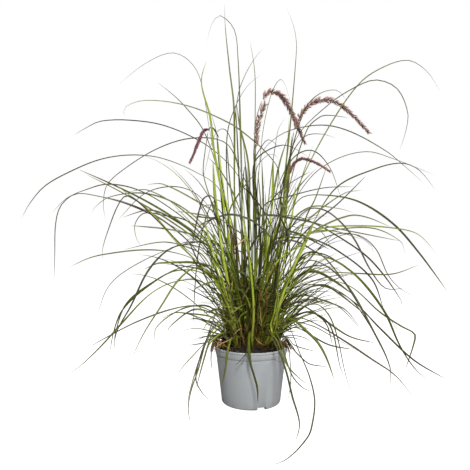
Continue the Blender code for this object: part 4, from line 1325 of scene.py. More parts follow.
        Leaf(10, 2, 4, OLIVE, ((5.4, 34), (7, 45), (6.6, 53))),
        Leaf(-4, 2, 4, BROWN, ((3.4, 28), (4.7, 37.5), (5.4, 40.2), (7.6, 45))),
        Leaf(8, 1, 5, OLIVE, ((2.2, 36), (0.6, 56))),
        Leaf(4, 1.6, 4.4, GREEN, ((3, 33), (2.9, 45), (2.5, 56.6))),
        Leaf(6, 3, 4.6, GREEN, ((6.2, 36), (7.4, 45), (8.3, 56), (8.9, 66))),
        Leaf(-2, 1.2, 3.4, OLIVE, ((1.6, 36), (2.2, 46), (1.6, 53.4))),
        Leaf(20, 3, 3.4, OLIVE, ((5.6, 40), (8.6, 47), (11.4, 52.4))),
        Leaf(-18, 4, 4, OLIVE, ((8, 27), (10.4, 30), (12, 30.7), (16, 31.4), (19, 31))),
        Leaf(16, 4.3, 4, OLIVE, ((9, 26), (15.7, 35.2), (19.5, 39))),
        Leaf(20, 3.2, 6, GREEN, ((4.6, 22), (8, 42))),
        Leaf(-52, 3.6, 4, LIME, ((5, 14.5), (4.6, 17.5), (5.5, 20.6), (6, 24))),
        Leaf(-40, 4, 6, GREEN, ((5.2, 15), (6.2, 20), (6.1, 26), (6.6, 31))),
        Leaf(-60, 2.4, 3, GREEN, ((2, 15.6), (2.9, 16.9), (4.4, 16.2), (6.6, 13.4))),
    ),
    "front_arcs": (
        Leaf(180, 0, 4, PURPLE, ((3.5, 33.5), (-1, 37.8), (-5.2, 40.8), (-7.6, 42.2), (-8.8, 42.3),
            (-11, 40.3), (-14, 36.4)), nearer=4.5),
        Leaf(180, 0, 5, DARK, ((7.4, 28), (8.5, 36), (8.1, 39.8), (6.5, 43.2), (4.8, 48.5)), nearer=4),
        Leaf(0, 0, 5, DARK, ((-1.6, 26), (-0.8, 33), (1, 37.4), (4.4, 40.8), (6, 43)), nearer=5),
        Leaf(0, 0, 5, DARK, ((1, 32), (0.9, 39), (1.6, 42.6), (4, 43.1), (7, 42.8), (14, 41.5),
            (18, 40.4)), nearer=4.5),
        Leaf(0, 0, 4.6, DARK, ((4.4, 32), (5.6, 38), (7, 39.5), (10, 39.1), (12, 38.4),
            (18.5, 35)), nearer=4),
        Leaf(0, 0, 4.4, PURPLE, ((4.4, 30), (5.6, 36.4), (10, 37.1), (16, 33.9), (18, 32.4),
            (20.5, 29.5)), nearer=5.5),
        Leaf(180, 0, 4, DARK, ((2, 36), (1.6, 43), (0.2, 47.6), (-2.2, 53)), nearer=4),
        Leaf(180, 0, 5.4, DARK, ((7, 35.5), (1, 41.3), (-3, 43), (-5.5, 43.2), (-8.5, 42.5), (-11, 42.6),
            (-13.4, 43.4)), nearer=5),
        Leaf(0, 0, 4.4, GREEN, ((-4.6, 28), (-5.4, 38), (-5, 44), (-2.5, 48.5), (1.5, 53.5)), nearer=4),
        Leaf(0, 0, 4, DARK, ((-5, 32), (-11.6, 54)), nearer=4),
        Leaf(0, 0, 4.4, GREEN, ((-1.2, 40), (-3.6, 47), (-7, 53.4), (-10.4, 57)), nearer=3),
        Leaf(0, 0, 3.6, OLIVE, ((3, 40), (4.8, 46.4), (9, 50.4), (14, 53.4)), nearer=3),
        Leaf(0, 0, 3.4, OLIVE, ((6, 38), (2.6, 44.6), (-0.6, 48.6), (-3, 50.4)), nearer=3),
    ),
    "short_blades": (
        Leaf(225, 3.6, 3, GREEN, ((-1.3, 22.4), (-2.5, 21.8), (-4, 20.6), (-5.2, 20.2)), nearer=3),
        Leaf(205, 4, 6, GREEN, ((-5, 20.2), (-7, 21), (-8.5, 21), (-11, 20.2))),
        Leaf(-20, 4, 4, GREEN, ((6, 20.5), (8.5, 20), (9.5, 18.6), (11, 16.8))),
        Leaf(-10, 4, 3, OLIVE, ((5, 20.2), (8.5, 17), (11, 17))),
        Leaf(-24, 4, 3, OLIVE, ((5, 20.1), (8.5, 16.2), (11, 16.2))),
        Leaf(-16, 4, 3, OLIVE, ((5, 20.3), (8, 14.4), (9.4, 12.9), (11, 10.3))),
        Leaf(-40, 4, 4.4, GREEN, ((5.8, 20.5), (6.3, 23.6), (5.8, 26)), nearer=2),
        Leaf(0, 0, 5, LIME, ((6.5, 22), (8.6, 25.4), (10, 29.6)), nearer=4),
        Leaf(0, 0, 5, LIME, ((5.5, 26), (8, 28), (11.4, 31.2), (13, 34)), nearer=4),
        Leaf(0, 0, 5, GREEN, ((6, 24), (9.6, 26.4), (13.4, 30), (15.6, 33)), nearer=5),
        Leaf(0, 0, 5, LIME, ((4.2, 29), (6.4, 32.6), (9.4, 34.8), (12.6, 36.4)), nearer=3),
        Leaf(180, 0, 4.6, LIME, ((-5, 23), (-7.6, 26.2), (-9, 30), (-9.4, 33.4)), nearer=4),
        Leaf(180, 0, 4.6, GREEN, ((-4, 29), (-6, 32), (-8, 34.4), (-11, 35.8)), nearer=4),
        Leaf(0, 0, 5, GREEN, ((3.6, 22), (1.4, 26.4), (-1.6, 29.6), (-4.6, 31)), nearer=5),
        Leaf(0, 0, 5, OLIVE, ((-3.2, 21), (-0.6, 26), (2.4, 29), (5, 30.4)), nearer=5),
        Leaf(0, 0, 5, GREEN, ((-1.6, 25), (-4.4, 30), (-5.4, 34), (-5.2, 37)), nearer=4),
        Leaf(180, 0, 5, OLIVE, ((2, 21), (4.6, 24.6), (5.6, 29), (5.2, 33)), nearer=5),
    ),
}

# Groups whose leaves leave a stem rather than the soil, where they start above STEM_HEIGHT
BRANCHING = ("middle_blades_left", "middle_blades_right", "low_blades_left", "low_blades_right", "front_arcs",
             "short_blades")


def leaf_nodes(first: int, last: int) -> tuple[str, ...]:
    """The names of the frame's leaves from one number to another."""
    return tuple(f"leaf_{number:02d}" for number in range(first, last + 1))


LEFT_NODES = leaf_nodes(1, 19)
RIGHT_NODES = leaf_nodes(20, 41)
BACK_NODES = leaf_nodes(42, 46)
FRONT_NODES = leaf_nodes(47, 48)
SIDE_NODES = LEFT_NODES + RIGHT_NODES


@dataclass
class Foliage:
    """All leaves that were drawn one by one.

    Attributes:
        limits: nearest and furthest depth that a leaf may reach, in centimetres.
        stations: how many steps each leaf has.
        stalk_sheath: how far along a stalk its sheath ends.
        branch_sheath: the same of a leaf that leaves a stem.
        low_sheath: the same of a leaf that stays below LOW_LEAF_HEIGHT.
        wave: how far a blade turns to and fro about its line, in radians.
        rng: where the small differences between leaves come from.
    """

    limits: np.ndarray
    stations: int = 56
    stalk_sheath: float = 0.68
    branch_sheath: float = 0.1
    low_sheath: float = 0.22
    wave: float = 0.16
    rng: np.random.Generator = field(default_factory=lambda: np.random.default_rng(SEED))

    def line(self, leaf: Leaf, profile: bool, from_stem: bool) -> np.ndarray:
        """The centre line of one leaf.

        Args:
            leaf: the leaf.
            profile: True if its outline is (distance from the axis, height).
            from_stem: True if it leaves a stem at its outline's first point.

        Returns:
            Points in metres, stations + 1 of them.
        """
        root = root_of(leaf.azimuth, leaf.root) - (0, leaf.nearer, 0)
        angle = math.radians(leaf.azimuth)
        if profile:
            points = [np.array((p[0] * math.cos(angle), p[0] * math.sin(angle), p[1])) for p in leaf.outline]
        else:
            points = [placed(p, leaf.azimuth, root, self.limits) for p in leaf.outline]
        return smooth_line(np.array(points if from_stem else [root, *points]), self.stations) * CM

    def sheath(self, leaf: Leaf, from_stem: bool) -> float:
        """How far along a leaf its sheath ends.

        Args:
            leaf: the leaf.
            from_stem: True if it leaves a stem.

        Returns:
            The share of its length, 0 to 1.
        """
        if leaf.is_stalk():
            return self.stalk_sheath
        if from_stem:
            return self.branch_sheath
        low = max(point[1] for point in leaf.outline) < LOW_LEAF_HEIGHT
        return self.low_sheath if low else BLADE_SHAPE.sheath_length

    def strand(self, strands: Strands, leaf: Leaf, profile: bool, slot: int, from_stem: bool = False) -> None:
        """Adds one leaf to a batch of strands.

        Args:
            strands: the batch.
            leaf: the leaf.
            profile: True if its outline is (distance from the axis, height).
            slot: its material slot.
            from_stem: True if it leaves a stem at its outline's first point.
        """
        line = self.line(leaf, profile, from_stem)[None]
        across = level_across(np.radians([leaf.azimuth]))
        share = np.linspace(0, 1, self.stations + 1)
        seen, wave, phase, opens, shade, taper, side = self.rng.uniform(
            (0.68, 2, 0, -0.06, 0, 2.6, -1), (0.98, 5, 6.3, 0.06, 1, 7, 1))
        roll = facing_roll(line, across, np.array([math.copysign(seen, side)]))
        roll = roll + self.wave * np.sin(wave * 3 * share + phase)
        half = np.array([0.5 * leaf.width * MM])
        shape = STALK_SHAPE if leaf.is_stalk() else BLADE_SHAPE
        opens = np.array([self.sheath(leaf, from_stem) + opens])
        strands.add(*shape.rings(line, across, half, roll, opens, leaf.taper or taper), shade, slot)

    def build(self) -> None:
        """Makes the leaves that the frame has, then the extra ones between them."""
        profiles = [(leaf, False) for leaf in LEFT_LEAVES + RIGHT_LEAVES]
        profiles += [(leaf, True) for leaf in BACK_AND_FRONT_LEAVES]
        for number, (leaf, profile) in enumerate(profiles, 1):
            strands = Strands(f"leaf_{number:02d}_blade")
            self.strand(strands, leaf, profile, 0)
            report(strands.build(leaf_materials((leaf.tone,))), "leaf", f"leaf_{number:02d}")
        for name, leaves in EXTRA_LEAVES.items():
            strands = Strands(name)
            for leaf in leaves:
                branches = name in BRANCHING and leaf.outline[0][1] > STEM_HEIGHT
                from_stem = branches or leaf.tone in (STRAW, BROWN)
                self.strand(strands, leaf, False, TONES.index(leaf.tone), from_stem)
            nodes = LEFT_NODES if "left" in name else RIGHT_NODES
            report(strands.build(leaf_materials()), "leaf", *nodes)


@dataclass(frozen=True)
class Shoots:
    """Leaves that fill one part of the clump, drawn at random.

    Attributes:
        name: the piece's name.
        count: how many leaves.
        bearings: centres of the sectors they lean to, in degrees.
        spread: how far they stray from a sector's centre, in degrees.
        root: least and greatest distance of the roots from the axis, in centimetres.
        lean: least and greatest lean at the root, in degrees.
        length: shortest and longest, in centimetres.
        droop: least and greatest bend from root to tip, in degrees.
        width: narrowest and widest, in millimetres.
        tones: how many in a hundred have each tone.
        nodes: the frame's nodes that they stand for.
        sheath: how far along them their sheaths end.
        stations: how many steps each has.
        swing: how far their bearing turns towards the tip, in degrees.
        lift: greatest height of their roots above the soil, in centimetres.
        room: distance that they keep from the box, in metres.
        floor_room: distance that they keep from the box's floor, in metres.
    """

    name: str
    count: int
    bearings: tuple[float, ...]
    spread: float
    root: tuple[float, float]
    lean: tuple[float, float]
    length: tuple[float, float]
    droop: tuple[float, float]
    width: tuple[float, float]
    tones: dict[Tone, int]
    nodes: tuple[str, ...]
    sheath: float = 0.42
    stations: int = 20
    swing: float = 24
    lift: float = 0
    room: float = 6 * MM
    floor_room: float = 4 * MM

    def lines(self, rng: np.random.Generator) -> tuple[np.ndarray, np.ndarray]:
        """Centre lines that rise and arch over.

        Args:
            rng: where the random draws come from.

        Returns:
            The lines, N x (stations + 1) x 3 in metres, and each one's bearing in radians.
        """
        n = self.count
        sector = rng.integers(0, len(self.bearings), n)
        bearing = np.radians(np.array(self.bearings)[sector] + rng.normal(0, self.spread, n))
        near, far = (math.copysign(r * r, r) for r in self.root)
        radius = rng.uniform(near, far, n)
        radius = np.sign(radius) * np.sqrt(np.abs(radius)) * CM
        start = bearing + rng.normal(0, 0.35, n)
        lean = np.radians(rng.uniform(*self.lean, n))
        length = rng.uniform(*self.length, n) * CM
        droop = np.radians(rng.uniform(*self.droop, n))
        swing = np.radians(rng.normal(0, self.swing, n))
        power = rng.uniform(1.6, 3.2, n)
        share = np.linspace(0, 1, self.stations)[None, :]
        tilt = lean[:, None] * (0.5 + 0.5 * np.minimum(share * 4, 1))
        tilt = tilt + droop[:, None] * share ** power[:, None]
        turn = bearing[:, None] + swing[:, None] * share ** 1.5
        steps = np.stack((np.sin(tilt) * np.cos(turn), np.sin(tilt) * np.sin(turn), np.cos(tilt)), axis=2)
        steps = steps * (length / self.stations)[:, None, None]
        roots = np.stack((radius * np.cos(start), radius * np.sin(start),
                          np.array([soil_height(abs(r)) + ROOT_LIFT for r in radius])), axis=1)[:, None, :]
        roots[..., 1] = np.where(roots[..., 1] < 0, FRONT_DEPTH * roots[..., 1], roots[..., 1])
        roots[..., 2] += rng.uniform(0, self.lift, (n, 1)) * CM
        return np.concatenate((roots, roots + np.cumsum(steps, axis=1)), axis=1), bearing

    def fitted(self, lines: np.ndarray, low: Vector, high: Vector) -> np.ndarray:
        """The lines, each made smaller about its root until it fits the box.

        Args:
            lines: centre lines in metres.
            low: the box's lowest corner.
            high: the box's highest corner.

        Returns:
            The lines at their new sizes.
        """
        away = lines - lines[:, :1]
        reach_up = np.array(high) - self.room - lines[:, :1]
        reach_down = np.array(low) + (self.room, self.room, self.floor_room) - lines[:, :1]
        with np.errstate(divide="ignore", invalid="ignore"):
            fits = np.where(away > 0, reach_up / away, np.where(away < 0, reach_down / away, np.inf))
        fits = np.minimum(np.nan_to_num(fits, nan=np.inf, posinf=np.inf).min(axis=(1, 2)), 1)
        return lines[:, :1] + away * fits[:, None, None]

    def build(self, low: Vector, high: Vector) -> None:
        """Makes the leaves as one piece, without those that would touch the rim or the soil.

        Args:
            low: the box's lowest corner.
            high: the box's highest corner.
        """
        rng = np.random.default_rng([SEED, self.count, len(self.name)])
        lines, bearing = self.lines(rng)
        lines = self.fitted(lines, low, high)
        out, height = np.linalg.norm(lines[:, 1:, :2], axis=2), lines[:, 1:, 2]
        touches_rim = (out > RIM_INSIDE) & (out < RIM_OUTSIDE) & (height < ABOVE_RIM)
        touches_soil = (out < RIM_OUTSIDE) & (height < ABOVE_SOIL)
        keep = ~(touches_rim | touches_soil).any(axis=1)
        lines, bearing = lines[keep], bearing[keep]
        n = len(lines)
        share = np.linspace(0, 1, self.stations + 1)[None, :]
        seen = rng.uniform(0.45, 0.98, n) * rng.choice((-1, 1), n)
        wave, phase = rng.uniform(4, 11, n), rng.uniform(0, 6.3, n)
        across = level_across(bearing)
        roll = facing_roll(lines, across, seen) + 0.2 * np.sin(wave[:, None] * share + phase[:, None])
        half = 0.5 * rng.uniform(*self.width, n) * MM
        opens = self.sheath + rng.uniform(-0.1, 0.1, n)
        made = FILLING_SHAPE.rings(lines, across, half, roll, opens, rng.uniform(1.6, 3.2, (n, 1)))
        weights = np.array([self.tones.get(tone, 0) for tone in TONES], float)
        slots = rng.choice(len(TONES), n, p=weights / weights.sum())
        build_leaves(self.name, made, rng.uniform(0, 1, n), slots, self.nodes)


ALL_ROUND = (0, 180, 90, -90)

SHOOTS = (
    Shoots("tall_shoots", 8, (180, 90, 0), 50, (0.2, 4.2), (0, 12), (36, 56), (4, 30), (3, 4.4),
           {LIME: 30, GREEN: 40, OLIVE: 30}, SIDE_NODES, sheath=0.55),
    Shoots("inner_shoots", 16, ALL_ROUND, 50, (0.3, 3.6), (1, 11), (20, 38), (8, 90), (3, 5),
           {LIME: 76, GREEN: 24}, SIDE_NODES, sheath=0.6),
    Shoots("side_stems", 8, (0, 180), 30, (2.6, 4.8), (10, 28), (12, 18), (0, 24), (3.4, 5),
           {LIME: 70, GREEN: 30}, SIDE_NODES, sheath=0.7),
    Shoots("back_shoots", 22, (55, 90, 125), 22, (2, 5), (14, 40), (28, 60), (50, 120), (3, 4.4),
           {LIME: 8, GREEN: 38, OLIVE: 44, PURPLE: 10}, BACK_NODES),
    Shoots("front_shoots", 6, (-62, -90, -118), 16, (1.5, 4.4), (4, 14), (22, 36), (15, 80), (3, 4.4),
           {LIME: 30, GREEN: 40, OLIVE: 30}, FRONT_NODES),
    Shoots("side_shoots", 8, (0, 180), 38, (2.5, 5), (20, 50), (20, 36), (20, 85), (2.8, 4.4),
           {LIME: 16, GREEN: 44, OLIVE: 34, PURPLE: 6}, SIDE_NODES, sheath=0.3),
    Shoots("right_arches", 46, (-20, 5, 30), 14, (5.2, 7), (42, 74), (12, 22), (10, 60), (2.8, 4.2),
           {LIME: 8, GREEN: 34, OLIVE: 26, DARK: 26, PURPLE: 6}, RIGHT_NODES, sheath=0.1, lift=13),
    Shoots("left_arches", 12, (150, 180, 205), 14, (4.8, 6.4), (48, 80), (8, 15), (10, 50), (2.8, 4.2),
           {GREEN: 34, OLIVE: 30, DARK: 26, PURPLE: 10}, LEFT_NODES, sheath=0.1, lift=10),
    Shoots("low_arches", 16, (0, 180, -25, 205), 26, (3.6, 5.6), (40, 70), (10, 18), (20, 70), (2.8, 4.6),
           {LIME: 14, GREEN: 46, OLIVE: 30, PURPLE: 10}, SIDE_NODES, sheath=0.26),
    Shoots("crossing_blades", 8, ALL_ROUND, 40, (-3.6, -0.5), (8, 30), (28, 50), (40, 120), (2.8, 4),
           {GREEN: 30, OLIVE: 20, DARK: 50}, SIDE_NODES, sheath=0.4),
    Shoots("front_wisps", 80, (-90, -40, -140), 60, (2.4, 5.4), (20, 88), (4, 10), (0, 60), (1.8, 3.4),
           {LIME: 60, GREEN: 16, STRAW: 14, BROWN: 10}, FRONT_NODES, sheath=0.05, stations=12, lift=13),
    Shoots("russet_sheaths", 44, (-110, -60), 30, (2.6, 5.2), (0, 34), (3, 8), (0, 50), (1.8, 3.4),
           {STRAW: 46, BROWN: 24, PURPLE: 30}, FRONT_NODES, sheath=0.2, stations=10, lift=2),
    Shoots("tangled_blades", 130, ALL_ROUND, 60, (0.2, 3.4), (4, 90), (4, 11), (0, 60), (2.6, 4.6),
           {LIME: 38, GREEN: 32, OLIVE: 12, DARK: 4, BROWN: 14}, SIDE_NODES, sheath=0.04, stations=12,
           lift=13),
    Shoots("front_tangle", 170, (-90, -50, -130), 60, (0.6, 4.8), (0, 80), (4, 11), (0, 60), (3, 6.5),
           {LIME: 36, GREEN: 38, OLIVE: 10, DARK: 2, BROWN: 14}, FRONT_NODES, sheath=0.1, stations=12,
           lift=12),
    Shoots("basal_tuft", 100, ALL_ROUND, 60, (0.4, 4), (0, 20), (6, 18), (5, 60), (2.8, 5),
           {LIME: 38, GREEN: 32, OLIVE: 10, DARK: 2, BROWN: 18}, SIDE_NODES, sheath=0.5, stations=14),
    Shoots("dead_sheaths", 120, ALL_ROUND, 60, (0.3, 4.6), (0, 26), (3, 12), (0, 50), (4, 7),
           {STRAW: 4, BROWN: 86, PURPLE: 10}, SIDE_NODES, sheath=0.35, stations=10),
    Shoots("brown_heart", 50, (-60, -20), 40, (0.6, 3.8), (0, 24), (4, 12), (0, 60), (4, 8),
           {STRAW: 3, BROWN: 97}, SIDE_NODES, sheath=0.3, stations=10, lift=5),
)


@dataclass
class Litter:
    """Dead leaves that lie on the soil and hang over the rim.

    Attributes:
        count: how many are drawn; those that would cut through the rim are left out.
        stations: how many steps each has.
        rim: the rim's inner and outer radius and its top, with room round them, in metres.
        tones: the share of each tone, in the order of TONES.
    """

    count: int = 60
    stations: int = 14
    rim: tuple[float, float, float] = (8.0 * CM, 8.75 * CM, 13.16 * CM)
    tones: tuple[float, ...] = (0, 0.03, 0.06, 0.08, 0.2, 0.17, 0.46)

    def lines(self, rng: np.random.Generator) -> tuple[np.ndarray, np.ndarray]:
        """Centre lines that start on the soil, clear the rim and sag outside it.

        Args:
            rng: where the random draws come from.

        Returns:
            The lines, N x (stations + 1) x 3 in metres, and each one's bearing in radians.
        """
        lines, bearings = [], []
        for sector in rng.choice((0, 180, 90), self.count, p=(0.38, 0.42, 0.2)):
            bearing = math.radians(sector + rng.normal(0, 26))
            first = rng.uniform(5.4, 7.4)
            last = rng.uniform(8.9, 9.9)
            lift = rng.uniform(0.25, 1.3)
            sag = rng.uniform(0.2, 2.2) + 1.6 * (last - 8.9)
            over = RIM_RADIUS / CM
            places = ((first, -8, 12.8), (0.5 * (first + over), -3, 13.1 + 0.7 * lift),
                      (over, 1, 13.15 + lift), (last, 5, 13.2 + lift - sag))
            turn = rng.uniform(-2.2, 2.2)
            points = []
            for distance, shift, height in places:
                angle = bearing + math.radians(shift * turn)
                points.append((distance * math.cos(angle), distance * math.sin(angle), height))
            lines.append(smooth_line(np.array(points), self.stations) * CM)
            bearings.append(bearing)
        return np.array(lines), np.array(bearings)

    def build(self) -> None:
        """Makes the dead leaves as one piece."""
        rng = np.random.default_rng([SEED, 9])
        lines, bearing = self.lines(rng)
        n = len(lines)
        out = np.linalg.norm(lines[..., :2], axis=2)
        inside, outside, top = self.rim
        keep = ~((out > inside) & (out < outside) & (lines[..., 2] < top)).any(axis=1)
        twist = rng.uniform(-1.2, 1.2, (n, 1)), rng.uniform(-2, 2, (n, 1))
        roll = twist[0] + twist[1] * np.linspace(0, 1, self.stations + 1)
        half = 0.5 * rng.uniform(2, 5.4, n) * MM
        across = level_across(bearing)
        rings, tips, along, cross = FILLING_SHAPE.rings(lines, across, half, roll, np.full(n, 0.2))
        slots = rng.choice(len(TONES), n, p=self.tones)[keep]
        made = rings[keep], tips[keep], along[keep], cross
        build_leaves("rim_litter", made, rng.uniform(0, 1, n)[keep], slots, SIDE_NODES)


# ---------------------------------------------------------------- flowers


@dataclass(frozen=True)
class CulmShape:
    """How thick a culm is, and where its joints sit.

    Attributes:
        base: its radius at the root, in metres.
        end: its radius below the foxtail, in metres.
        first: from the root to the first joint, in metres.
        spacing: from joint to joint, in metres.
        clear: how much of its end has no joint, in metres.
        joint: half the length of a joint, in metres.
        swelling: how much a joint adds to the radius, as a part of it.
        stations: how many steps it has.
        sides: points in each ring.
    """

    base: float = 1.7 * MM
    end: float = 0.85 * MM
    first: float = 5.5 * CM
    spacing: float = 9.5 * CM
    clear: float = 4 * CM
    joint: float = 2.4 * MM
    swelling: float = 0.4
    stations: int = 72
    sides: int = 8


@dataclass(frozen=True)
class OutgrowthShape:
    """The shape of a seed or a bristle.

    Attributes:
        radii: its radius at each ring, in metres.
        places: where the rings are, as parts of its length.
        grown: the "along" value of each ring.
        sides: points in each ring.
        bow: how far it bows sideways, as a part of its length.
    """

    radii: tuple[float, ...]
    places: tuple[float, ...]
    grown: tuple[float, ...]
    sides: int
    bow: float


SEED_SHAPE = OutgrowthShape((0.36 * MM, 0.8 * MM, 0.56 * MM), (0, 0.4, 0.8), (0, 0.15, 0.3), 5, 0.0)
BRISTLE_SHAPE = OutgrowthShape((0.18 * MM, 0.24 * MM), (0, 0.6), (0.1, 0.6), 3, 0.06)


@dataclass(frozen=True)
class Flower:
    """One flower: a round culm and the foxtail at its end.

    Attributes:
        number: of its stem and spike in the frame.
        azimuth: of its upright plane, in degrees.
        root: distance of the culm's root from the axis, in centimetres.
        stem: the culm's outline, in centimetres.
        spike: the foxtail's outline, in centimetres.
        radius: reach of the bristles, in millimetres.
        tone: its colours.
        bristles: how many it has.
        tufts: how many spikelets they stand round.
        lean: least and greatest lean of a spikelet away from the axis, in degrees.
        slim: how wide it is at its end, as a part of its greatest width.
        low_reach: reach of the lowest bristles, as a part of the greatest.
        full: how far along the foxtail the bristles reach furthest.
        last: how far along it the last spikelet sits.
        axis: the foxtail's axis, its radius in metres.
        steps: how many steps the axis has.
        fine: how many steps the spikelets are placed by.
        culm: the culm's shape.
    """

    number: int
    azimuth: float
    root: float
    stem: tuple[tuple[float, float], ...]
    spike: tuple[tuple[float, float], ...]
    radius: float
    tone: FoxtailTone
    bristles: int = 2600
    tufts: int = 150
    lean: tuple[float, float] = (28, 58)
    slim: float = 0.6
    low_reach: float = 0.8
    full: float = 0.3
    last: float = 0.985
    axis: float = 0.8 * MM
    steps: int = 40
    fine: int = 240
    culm: CulmShape = CulmShape()

    def build_culm(self, limits: np.ndarray) -> None:
        """Makes the culm, with a swollen joint every hand's breadth.

        Args:
            limits: nearest and furthest depth that it may reach, in centimetres.
        """
        culm = self.culm
        root = root_of(self.azimuth, self.root)
        points = np.array([root] + [placed(p, self.azimuth, root, limits) for p in self.stem])
        line = smooth_line(points, culm.stations)[None] * CM
        share = np.linspace(0, 1, culm.stations + 1)[None, :]
        side, up = frames(line, LEVEL_BACK, np.zeros(share.shape))
        length = np.linalg.norm(np.diff(line[0], axis=0), axis=1).sum()
        knot = np.zeros(share.shape)
        for place in np.arange(culm.first, length - culm.clear, culm.spacing):
            knot = np.maximum(knot, np.exp(-((share * length - place) / culm.joint) ** 2))
        radius = (culm.base + (culm.end - culm.base) * share) * (1 + culm.swelling * knot)
        ring = circles(side[:, :-1], up[:, :-1], culm.sides)
        rings = line[:, :-1, None, :] + radius[:, :-1, None, None] * ring
        cross = np.cos(math.tau * np.arange(culm.sides) / culm.sides)
        strands = Strands(f"culm_{self.number}")
        strands.add(rings, line[:, -1], share[:, :-1, None], cross, knot[:, :-1, None])
        report(strands.build([CulmFinish().material()]), "stem", f"flower_stem_{self.number}")

    def reaches(self, share: np.ndarray) -> np.ndarray:
        """How far bristles reach from the foxtail's axis.

        Args:
            share: places along the foxtail, 0 to 1.

        Returns:
            The reach at each place, in metres.
        """
        reach = self.low_reach + (1 - self.low_reach) * np.minimum(share / self.full, 1)
        slimmer = (1 - self.slim) * np.clip((share - self.full) / (1 - self.full), 0, 1)
        return self.radius * MM * (reach - slimmer)

    def build_foxtail(self, limits: np.ndarray) -> None:
        """Makes the foxtail: a thin axis, its seeds and its bristles.

        Args:
            limits: nearest and furthest depth that it may reach, in centimetres.
        """
        rng = np.random.default_rng([SEED, self.number])
        root = root_of(self.azimuth, self.root)
        points = np.array([placed(p, self.azimuth, root, limits) for p in self.spike])
        line = smooth_line(points, self.fine)[None] * CM
        side, up = frames(line, LEVEL_BACK, np.zeros((1, self.fine + 1)))
        along = unit(np.gradient(line, axis=1))[0]
        line, side, up = line[0], side[0], up[0]
        strands = Strands(f"foxtail_{self.number}")
        picks = np.linspace(0, self.fine, self.steps + 1).astype(int)
        begins = np.arange(self.steps) / self.steps
        girth = (self.axis * (1 - 0.6 * begins))[:, None, None]
        rings = line[picks[:-1], None, :] + girth * circles(side[picks[:-1]], up[picks[:-1]], 6)
        strands.add(rings[None], line[picks[-1:]], 0.0, begins[None, :, None], 0.8)
        tuft_share = (np.arange(self.tufts) + rng.uniform(0, 0.9, self.tufts)) * self.last / self.tufts
        tuft_angle = np.arange(self.tufts) * GOLDEN_ANGLE + rng.normal(0, 0.3, self.tufts)
        tuft_lean = rng.uniform(*self.lean, self.tufts)
        for count, shape in ((3 * self.tufts, SEED_SHAPE), (self.bristles, BRISTLE_SHAPE)):
            tuft = np.arange(count) % self.tufts
            share = np.clip(tuft_share[tuft] + rng.normal(0, 0.003, count), 0, self.last)
            index = (share * self.fine).astype(int)
            angle = tuft_angle[tuft] + rng.normal(0, 0.3, count)
            out = np.cos(angle)[:, None] * side[index] + np.sin(angle)[:, None] * up[index]
            upright = 1 - (1 - self.slim) * share
            if shape is SEED_SHAPE:
                lean = np.radians(tuft_lean[tuft] * rng.uniform(0.5, 0.8, count)) * upright
                length = rng.uniform(3.8, 5.4, count) * MM
            else:
                lean = np.radians(tuft_lean[tuft] + rng.normal(0, 7, count)) * upright
                length = self.reaches(share) / np.sin(np.maximum(lean, 0.4)) * rng.uniform(0.5, 1.08, count)
            axis = np.cos(lean)[:, None] * along[index] + np.sin(lean)[:, None] * out
            base = line[index] + 0.5 * MM * out
            across = unit(np.cross(axis, out))
            places = np.array(shape.places)
            middle = base[:, None] + places[None, :, None] * (length[:, None] * axis)[:, None]
            bend = shape.bow * length[:, None, None] * np.sin(math.pi * places)[None, :, None]
            middle = middle + bend * rng.uniform(-1, 1, (count, 1, 1)) * across[:, None]
            ring = circles(across, np.cross(axis, across), shape.sides)
            rings = middle[:, :, None, :] + np.array(shape.radii)[None, :, None, None] * ring[:, None]
            strands.add(rings, base + length[:, None] * axis, np.array(shape.grown)[None, :, None],
                        share[:, None, None], rng.uniform(0, 1, count)[:, None, None])
        report(strands.build([self.tone.value.material()]), "spike", f"flower_spike_{self.number}")


FLOWERS = (
    Flower(1, azimuth=217, root=1.9, radius=5, tone=FoxtailTone.MAROON, bristles=1900, tufts=130,
           lean=(16, 34), stem=((-4.2, 30), (-7.6, 42), (-9.8, 48), (-11.1, 53), (-10.7, 58), (-10, 62.6)),
           spike=((-9.9, 63.3), (-11, 62.7), (-12.4, 59.8), (-13.2, 57.7), (-14.2, 55.5))),
    Flower(2, azimuth=38, root=1.3, radius=10, tone=FoxtailTone.PINKISH, bristles=3800, tufts=104, slim=0.5,
           stem=((1.1, 30), (0.9, 48), (0.8, 58.5), (1, 63.7), (1.7, 67.4), (2.6, 69.9)),
           spike=((2.75, 70.3), (3.8, 71.6), (5.1, 71.8), (6.5, 71.3), (7.9, 69.8), (10.3, 65.2),
                  (12.5, 59.9))),
    Flower(3, azimuth=16, root=1.9, radius=10, tone=FoxtailTone.PINKISH, bristles=4000, tufts=96,
           lean=(32, 60), slim=0.5, stem=((3.6, 28), (6.6, 42), (8.5, 51), (9.3, 58), (10, 62.8)),
           spike=((10.1, 63.3), (12.1, 67.2), (15.5, 69.8), (19.6, 69.5), (23.3, 66.8), (27.6, 62.2))),
    Flower(4, azimuth=-30, root=1.2, radius=5, tone=FoxtailTone.REDDISH, bristles=1900, tufts=130,
           lean=(18, 44), stem=((3, 28), (6, 40), (8.2, 47), (8.8, 52)),
           spike=((8.9, 52.6), (9.9, 54.9), (11.8, 56.2), (15.1, 55.3), (18.4, 53.3))),
    Flower(5, azimuth=-38, root=0.5, radius=9, tone=FoxtailTone.TAN, bristles=1300, tufts=46,
           lean=(32, 60), slim=0.9, stem=((0.8, 30), (0.9, 45), (0.9, 52), (1.1, 59.4)),
           spike=((1.15, 58.6), (1.4, 62.9), (1.9, 65.5), (2.5, 67.4), (3.4, 69.1))),
)


# ---------------------------------------------------------------- pot and soil


